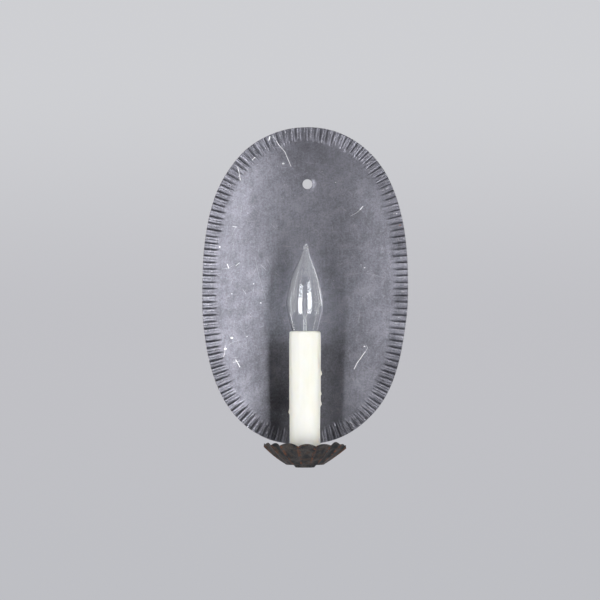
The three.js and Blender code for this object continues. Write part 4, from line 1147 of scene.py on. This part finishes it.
PLATE_RIVET_HEIGHT = plate_low.z + 38
PLATE_RIVET_HALF_SPACING = 5
PLATE_RIVET_SEAT = 0.95
PLATE_RIVET = {"shank": 3, "head": 5.6, "head_height": 1.1, "grip": 2.1, "tail": 5.2, "tail_height": 0.8}
RIVET_STEPS = 40
LEG_RIVET = {"shank": 2.2, "head": 4, "head_height": 0.8, "grip": 1.8, "tail": 3.8, "tail_height": 0.7}


def make_rivet(name, node, place, axis, shank, head, head_height, grip, tail, tail_height):
    """A rivet with a domed head, from its seat along its axis."""
    steps = 6
    dome = []
    for k in range(steps):
        turn = math.pi / 2 * k / steps
        dome.append((head / 2 * math.sin(turn), head_height * math.cos(turn)))
    outline = dome + [(head / 2, 0), (shank / 2, 0), (shank / 2, -grip), (tail / 2, -grip)]
    end = -grip - tail_height
    outline += [(tail / 2, end + tail_height / 2), (tail / 3, end), (0, end)]
    skin = turned(outline, RIVET_STEPS)
    turn = Vector((0, 0, 1)).rotation_difference(Vector(axis))
    skin.points = [tuple(turn @ Vector(point) + Vector(place)) for point in skin.points]
    return make_piece(name, skin, "plated_steel", "root", node)


def make_rivets():
    step = 0.3
    rise = dish_depth(0, PLATE_RIVET_HEIGHT - step) - dish_depth(0, PLATE_RIVET_HEIGHT + step)
    slope = math.atan2(rise, 2 * step)
    axis = Vector((0, -math.cos(slope), math.sin(slope)))
    for side, hand in ((-1, "left"), (1, "right")):
        x = side * PLATE_RIVET_HALF_SPACING
        seat = Vector((x, -dish_depth(x, PLATE_RIVET_HEIGHT), PLATE_RIVET_HEIGHT))
        seat += axis * PLATE_RIVET_SEAT
        make_rivet(f"{hand}_plate_rivet", f"arm_rivet_{hand}", seat, axis, **PLATE_RIVET)
    for hand in ("left", "right"):
        low, high = box_mm(f"leg_rivet_{hand}")
        seat = ((low.x + high.x) / 2, (low.y + high.y) / 2, high.z - LEG_RIVET["head_height"])
        make_rivet(f"{hand}_leg_rivet", f"leg_rivet_{hand}", seat, (0, 0, 1), **LEG_RIVET)


make_rivets()
for name, node, slot, bevel in (
    ("folded_arm", "arm", "dark_tin", 0.25),
    ("bent_leg", "socket_leg", "plated_steel", 0.25),
    ("slotted_screw", "leg_screw", "plated_steel", 0.1),
    ("moulded_socket", "socket_body", "phenolic", 0.2),
    ("oval_bushing", "pan_bushing", "fibre", 0.12),
    ("round_bushing", "arm_bushing", "fibre", 0.12),
    ("contact_tongue", "center_contact", "brass", 0.06),
    ("tongue_rivet", "contact_rivet", "brass", 0.06),
    ("flange_rivet", "shell_rivet", "brass", 0.06),
):
    refined_piece(name, node, slot, "root", bevel)
refined_piece("black_socket_lead", "hot_lead", "black_lead", "root", sharp=60)
refined_piece("white_socket_lead", "neutral_lead", "white_lead", "root", sharp=60)
refined_piece("glass_insulator", "base_insulator", "vitrite", "bulb", bevel=0.1)
refined_piece("solder_contact", "base_contact", "solder", "bulb_contact", bevel=0.15)
refined_piece("support_wire", "filament_support", "plated_steel", "bulb", sharp=80)


# Camera, lights and surroundings, from here on in metres

def make_camera():
    data = bpy.data.cameras.new("camera")
    data.sensor_width = SENSOR_WIDTH
    data.lens = SENSOR_WIDTH * FOCAL_PIXELS / FRAME_PIXELS
    camera = bpy.data.objects.new("camera", data)
    camera.location = CAMERA_PLACE * MM
    camera.rotation_euler = (math.radians(90) + CAMERA_PITCH, 0, 0)
    scene.collection.objects.link(camera)
    scene.camera = camera


LIGHT_CENTRE = Vector((0, -0.04, 0.0))
LIGHT_DISTANCE = 1.5
# Lamps at one place would hide each other, so the matt ones stand a little behind
MATT_DISTANCE = 1.53

# Lamps as (name, azimuth and elevation in degrees, width, height, radiance). Half of the light of
# the two softboxes, and of a brighter strip at the inner side of each, is matt, so that the tin
# keeps the colour of tin.
SOFTBOXES = (
    ("softbox_left", -31, -3, 0.69, 1.4, 0.55),
    ("softbox_right", 29, 0, 0.75, 1.5, 0.75),
    ("strip_left", -18.1, 0.8, 0.097, 1.11, 6.4),
    ("strip_right", 16.3, -15.2, 0.097, 1.71, 13.2),
)
# Fills at the sides lift the candle
FILLS = (("fill_left", -80, 0, 1, 1.5, 2.9), ("fill_right", 80, 0, 1, 1.5, 2.3))
# Lamps that light the bulb alone, in place of the softboxes and strips
GLINTS = (
    ("glint_left", -31, -5, 0.69, 1.05, 6),
    ("glint_right", 29, -1, 0.75, 1.2, 6.5),
    ("glint_rear", 125, 14, 0.5, 0.9, 3),
    ("glint_low_left", -116, -22, 0.16, 0.6, 4),
    ("glint_low_right", 84, -22, 0.16, 0.6, 3),
)


def make_lamp(name, azimuth, elevation, width, height, radiance, distance=LIGHT_DISTANCE, glossy=True):
    """A rectangular lamp, seen from the sconce at an azimuth to the right of the camera."""
    data = bpy.data.lights.new(name, "AREA")
    data.shape = "RECTANGLE"
    data.size = width
    data.size_y = height
    # A lamp's power is its radiance times its area times pi
    data.energy = radiance * width * height * math.pi
    lamp = bpy.data.objects.new(name, data)
    across, up = math.radians(azimuth), math.radians(elevation)
    back = Vector((math.sin(across) * math.cos(up), -math.cos(across) * math.cos(up), math.sin(up)))
    lamp.location = LIGHT_CENTRE + back * distance
    lamp.rotation_euler = back.to_track_quat("Z", "Y").to_euler()
    lamp.visible_camera = False
    lamp.visible_glossy = glossy
    lamp.visible_transmission = glossy
    scene.collection.objects.link(lamp)
    return lamp


def link_to_bulb(lamp, state):
    """Let a lamp light the bulb alone, or everything but the bulb."""
    group = bpy.data.collections.new(lamp.name + "_pieces")
    for piece in bulb_pieces:
        group.objects.link(piece)
    for member in group.collection_objects:
        member.light_linking.link_state = state
    lamp.light_linking.receiver_collection = group


def make_lamps():
    for name, *values in SOFTBOXES:
        link_to_bulb(make_lamp(name, *values), "EXCLUDE")
        make_lamp(name + "_matt", *values, MATT_DISTANCE, glossy=False)
    for values in FILLS:
        make_lamp(*values, glossy=False)
    for values in GLINTS:
        link_to_bulb(make_lamp(*values), "INCLUDE")


PALE_TOP = (0.62, 0.625, 0.65)
PALE_MIDDLE = (0.53, 0.53, 0.56)
PALE_BOTTOM = (0.515, 0.52, 0.55)
PALE_REACH = 0.55
FLOOR_COLOURS = ((0.47, 0.475, 0.5), (0.51, 0.515, 0.54))
STAGE_REACH = 5
BACKDROP_REACH = 4
BACKDROP_Y = 2.6
FLOOR_Z = -1.5


def stage_piece(name, corners, material):
    mesh = bpy.data.meshes.new(name)
    mesh.from_pydata(corners, [], [tuple(range(len(corners)))])
    mesh.materials.append(material)
    piece = bpy.data.objects.new(name, mesh)
    scene.collection.objects.link(piece)
    return piece


def pale_where_seen(stage, colour, share):
    """Show a stage material's colour at a share of full strength to the camera, metal and glass."""
    stage.set("Base Color", colour)
    glow = stage.add("Emission", {"Color": colour})
    seen = stage.rays("Camera", "Glossy", "Transmission")
    stage.show_mixed(stage.times(seen, share), stage.shader, glow)
    return stage.material


def backdrop_material():
    back = Finish("backdrop", Roughness=0.9)
    # Painted light: the backdrop glows lighter towards the top and darker towards the bottom
    height = back.part(back.add("TexCoord").outputs["Object"], "Z")
    colour = back.mix(back.steps(height, -PALE_REACH, 0), PALE_BOTTOM, PALE_MIDDLE)
    colour = back.mix(back.steps(height, 0, PALE_REACH), colour, PALE_TOP)
    return pale_where_seen(back, colour, 1.0)


def floor_material():
    floor = Finish("floor", Roughness=0.85)
    return pale_where_seen(floor, floor.mix(floor.noise(300, roughness=0.5), *FLOOR_COLOURS), 0.7)


def make_stage():
    ends = ((-1, -1), (1, -1), (1, 1), (-1, 1))
    wall = [(STAGE_REACH * side, BACKDROP_Y, BACKDROP_REACH * up) for side, up in ends]
    stage_piece("backdrop", wall, backdrop_material())
    depth = {-1: -STAGE_REACH, 1: BACKDROP_Y}
    ground = [(STAGE_REACH * side, depth[rear], FLOOR_Z) for side, rear in ends]
    stage_piece("floor", ground, floor_material())


ROOM_FRONT = (0.1, 0.1, 0.106)
ROOM_SIDES = (2.3, 2.31, 2.35)
ROOM_REAR = (0.55, 0.55, 0.57)
ROOM_TOP = (2.4, 2.41, 2.45)
ROOM_LEVEL = 0.03
STREAK_SIZE = 0.2
STREAK_STRETCH = (1, 1, 0.15)
STREAK_LEVELS = (0.45, 1.5)


def make_world():
    """A studio that is dark behind the camera, bright at the sides and pale behind the wall."""
    scene.world = bpy.data.worlds.new("world")
    room = Nodes(scene.world, "Background", "World Output")
    way = room.add("TexCoord").outputs["Generated"]
    rearward = room.part(way, "Y")
    colour = room.mix(room.steps(rearward, -0.86, -0.7), ROOM_FRONT, ROOM_SIDES)
    colour = room.mix(room.steps(rearward, 0.1, 0.6), colour, ROOM_REAR)
    colour = room.mix(room.steps(room.part(way, "Z"), 0.56, 0.68), colour, ROOM_TOP)
    # Upright streaks, as windows and furniture give
    streaks = room.noise(STREAK_SIZE, 2, 0.5, at=room.vector("MULTIPLY", way, STREAK_STRETCH))
    bright = room.steps(streaks, 0.35, 0.65, *STREAK_LEVELS, curve="LINEAR")
    room.join(room.shader.inputs["Color"], room.scaled(colour, bright))
    # The room's full brightness shows in the glass only
    room.join(room.shader.inputs["Strength"], room.steps(room.rays("Singular"), 0, 1, ROOM_LEVEL, 1))
    pale = room.add("Background", {"Color": PALE_MIDDLE})
    room.show_mixed(room.rays("Camera", "Transmission"), room.shader, pale)


make_camera()
make_lamps()
make_stage()
make_world()
scene.view_settings.view_transform = "Standard"
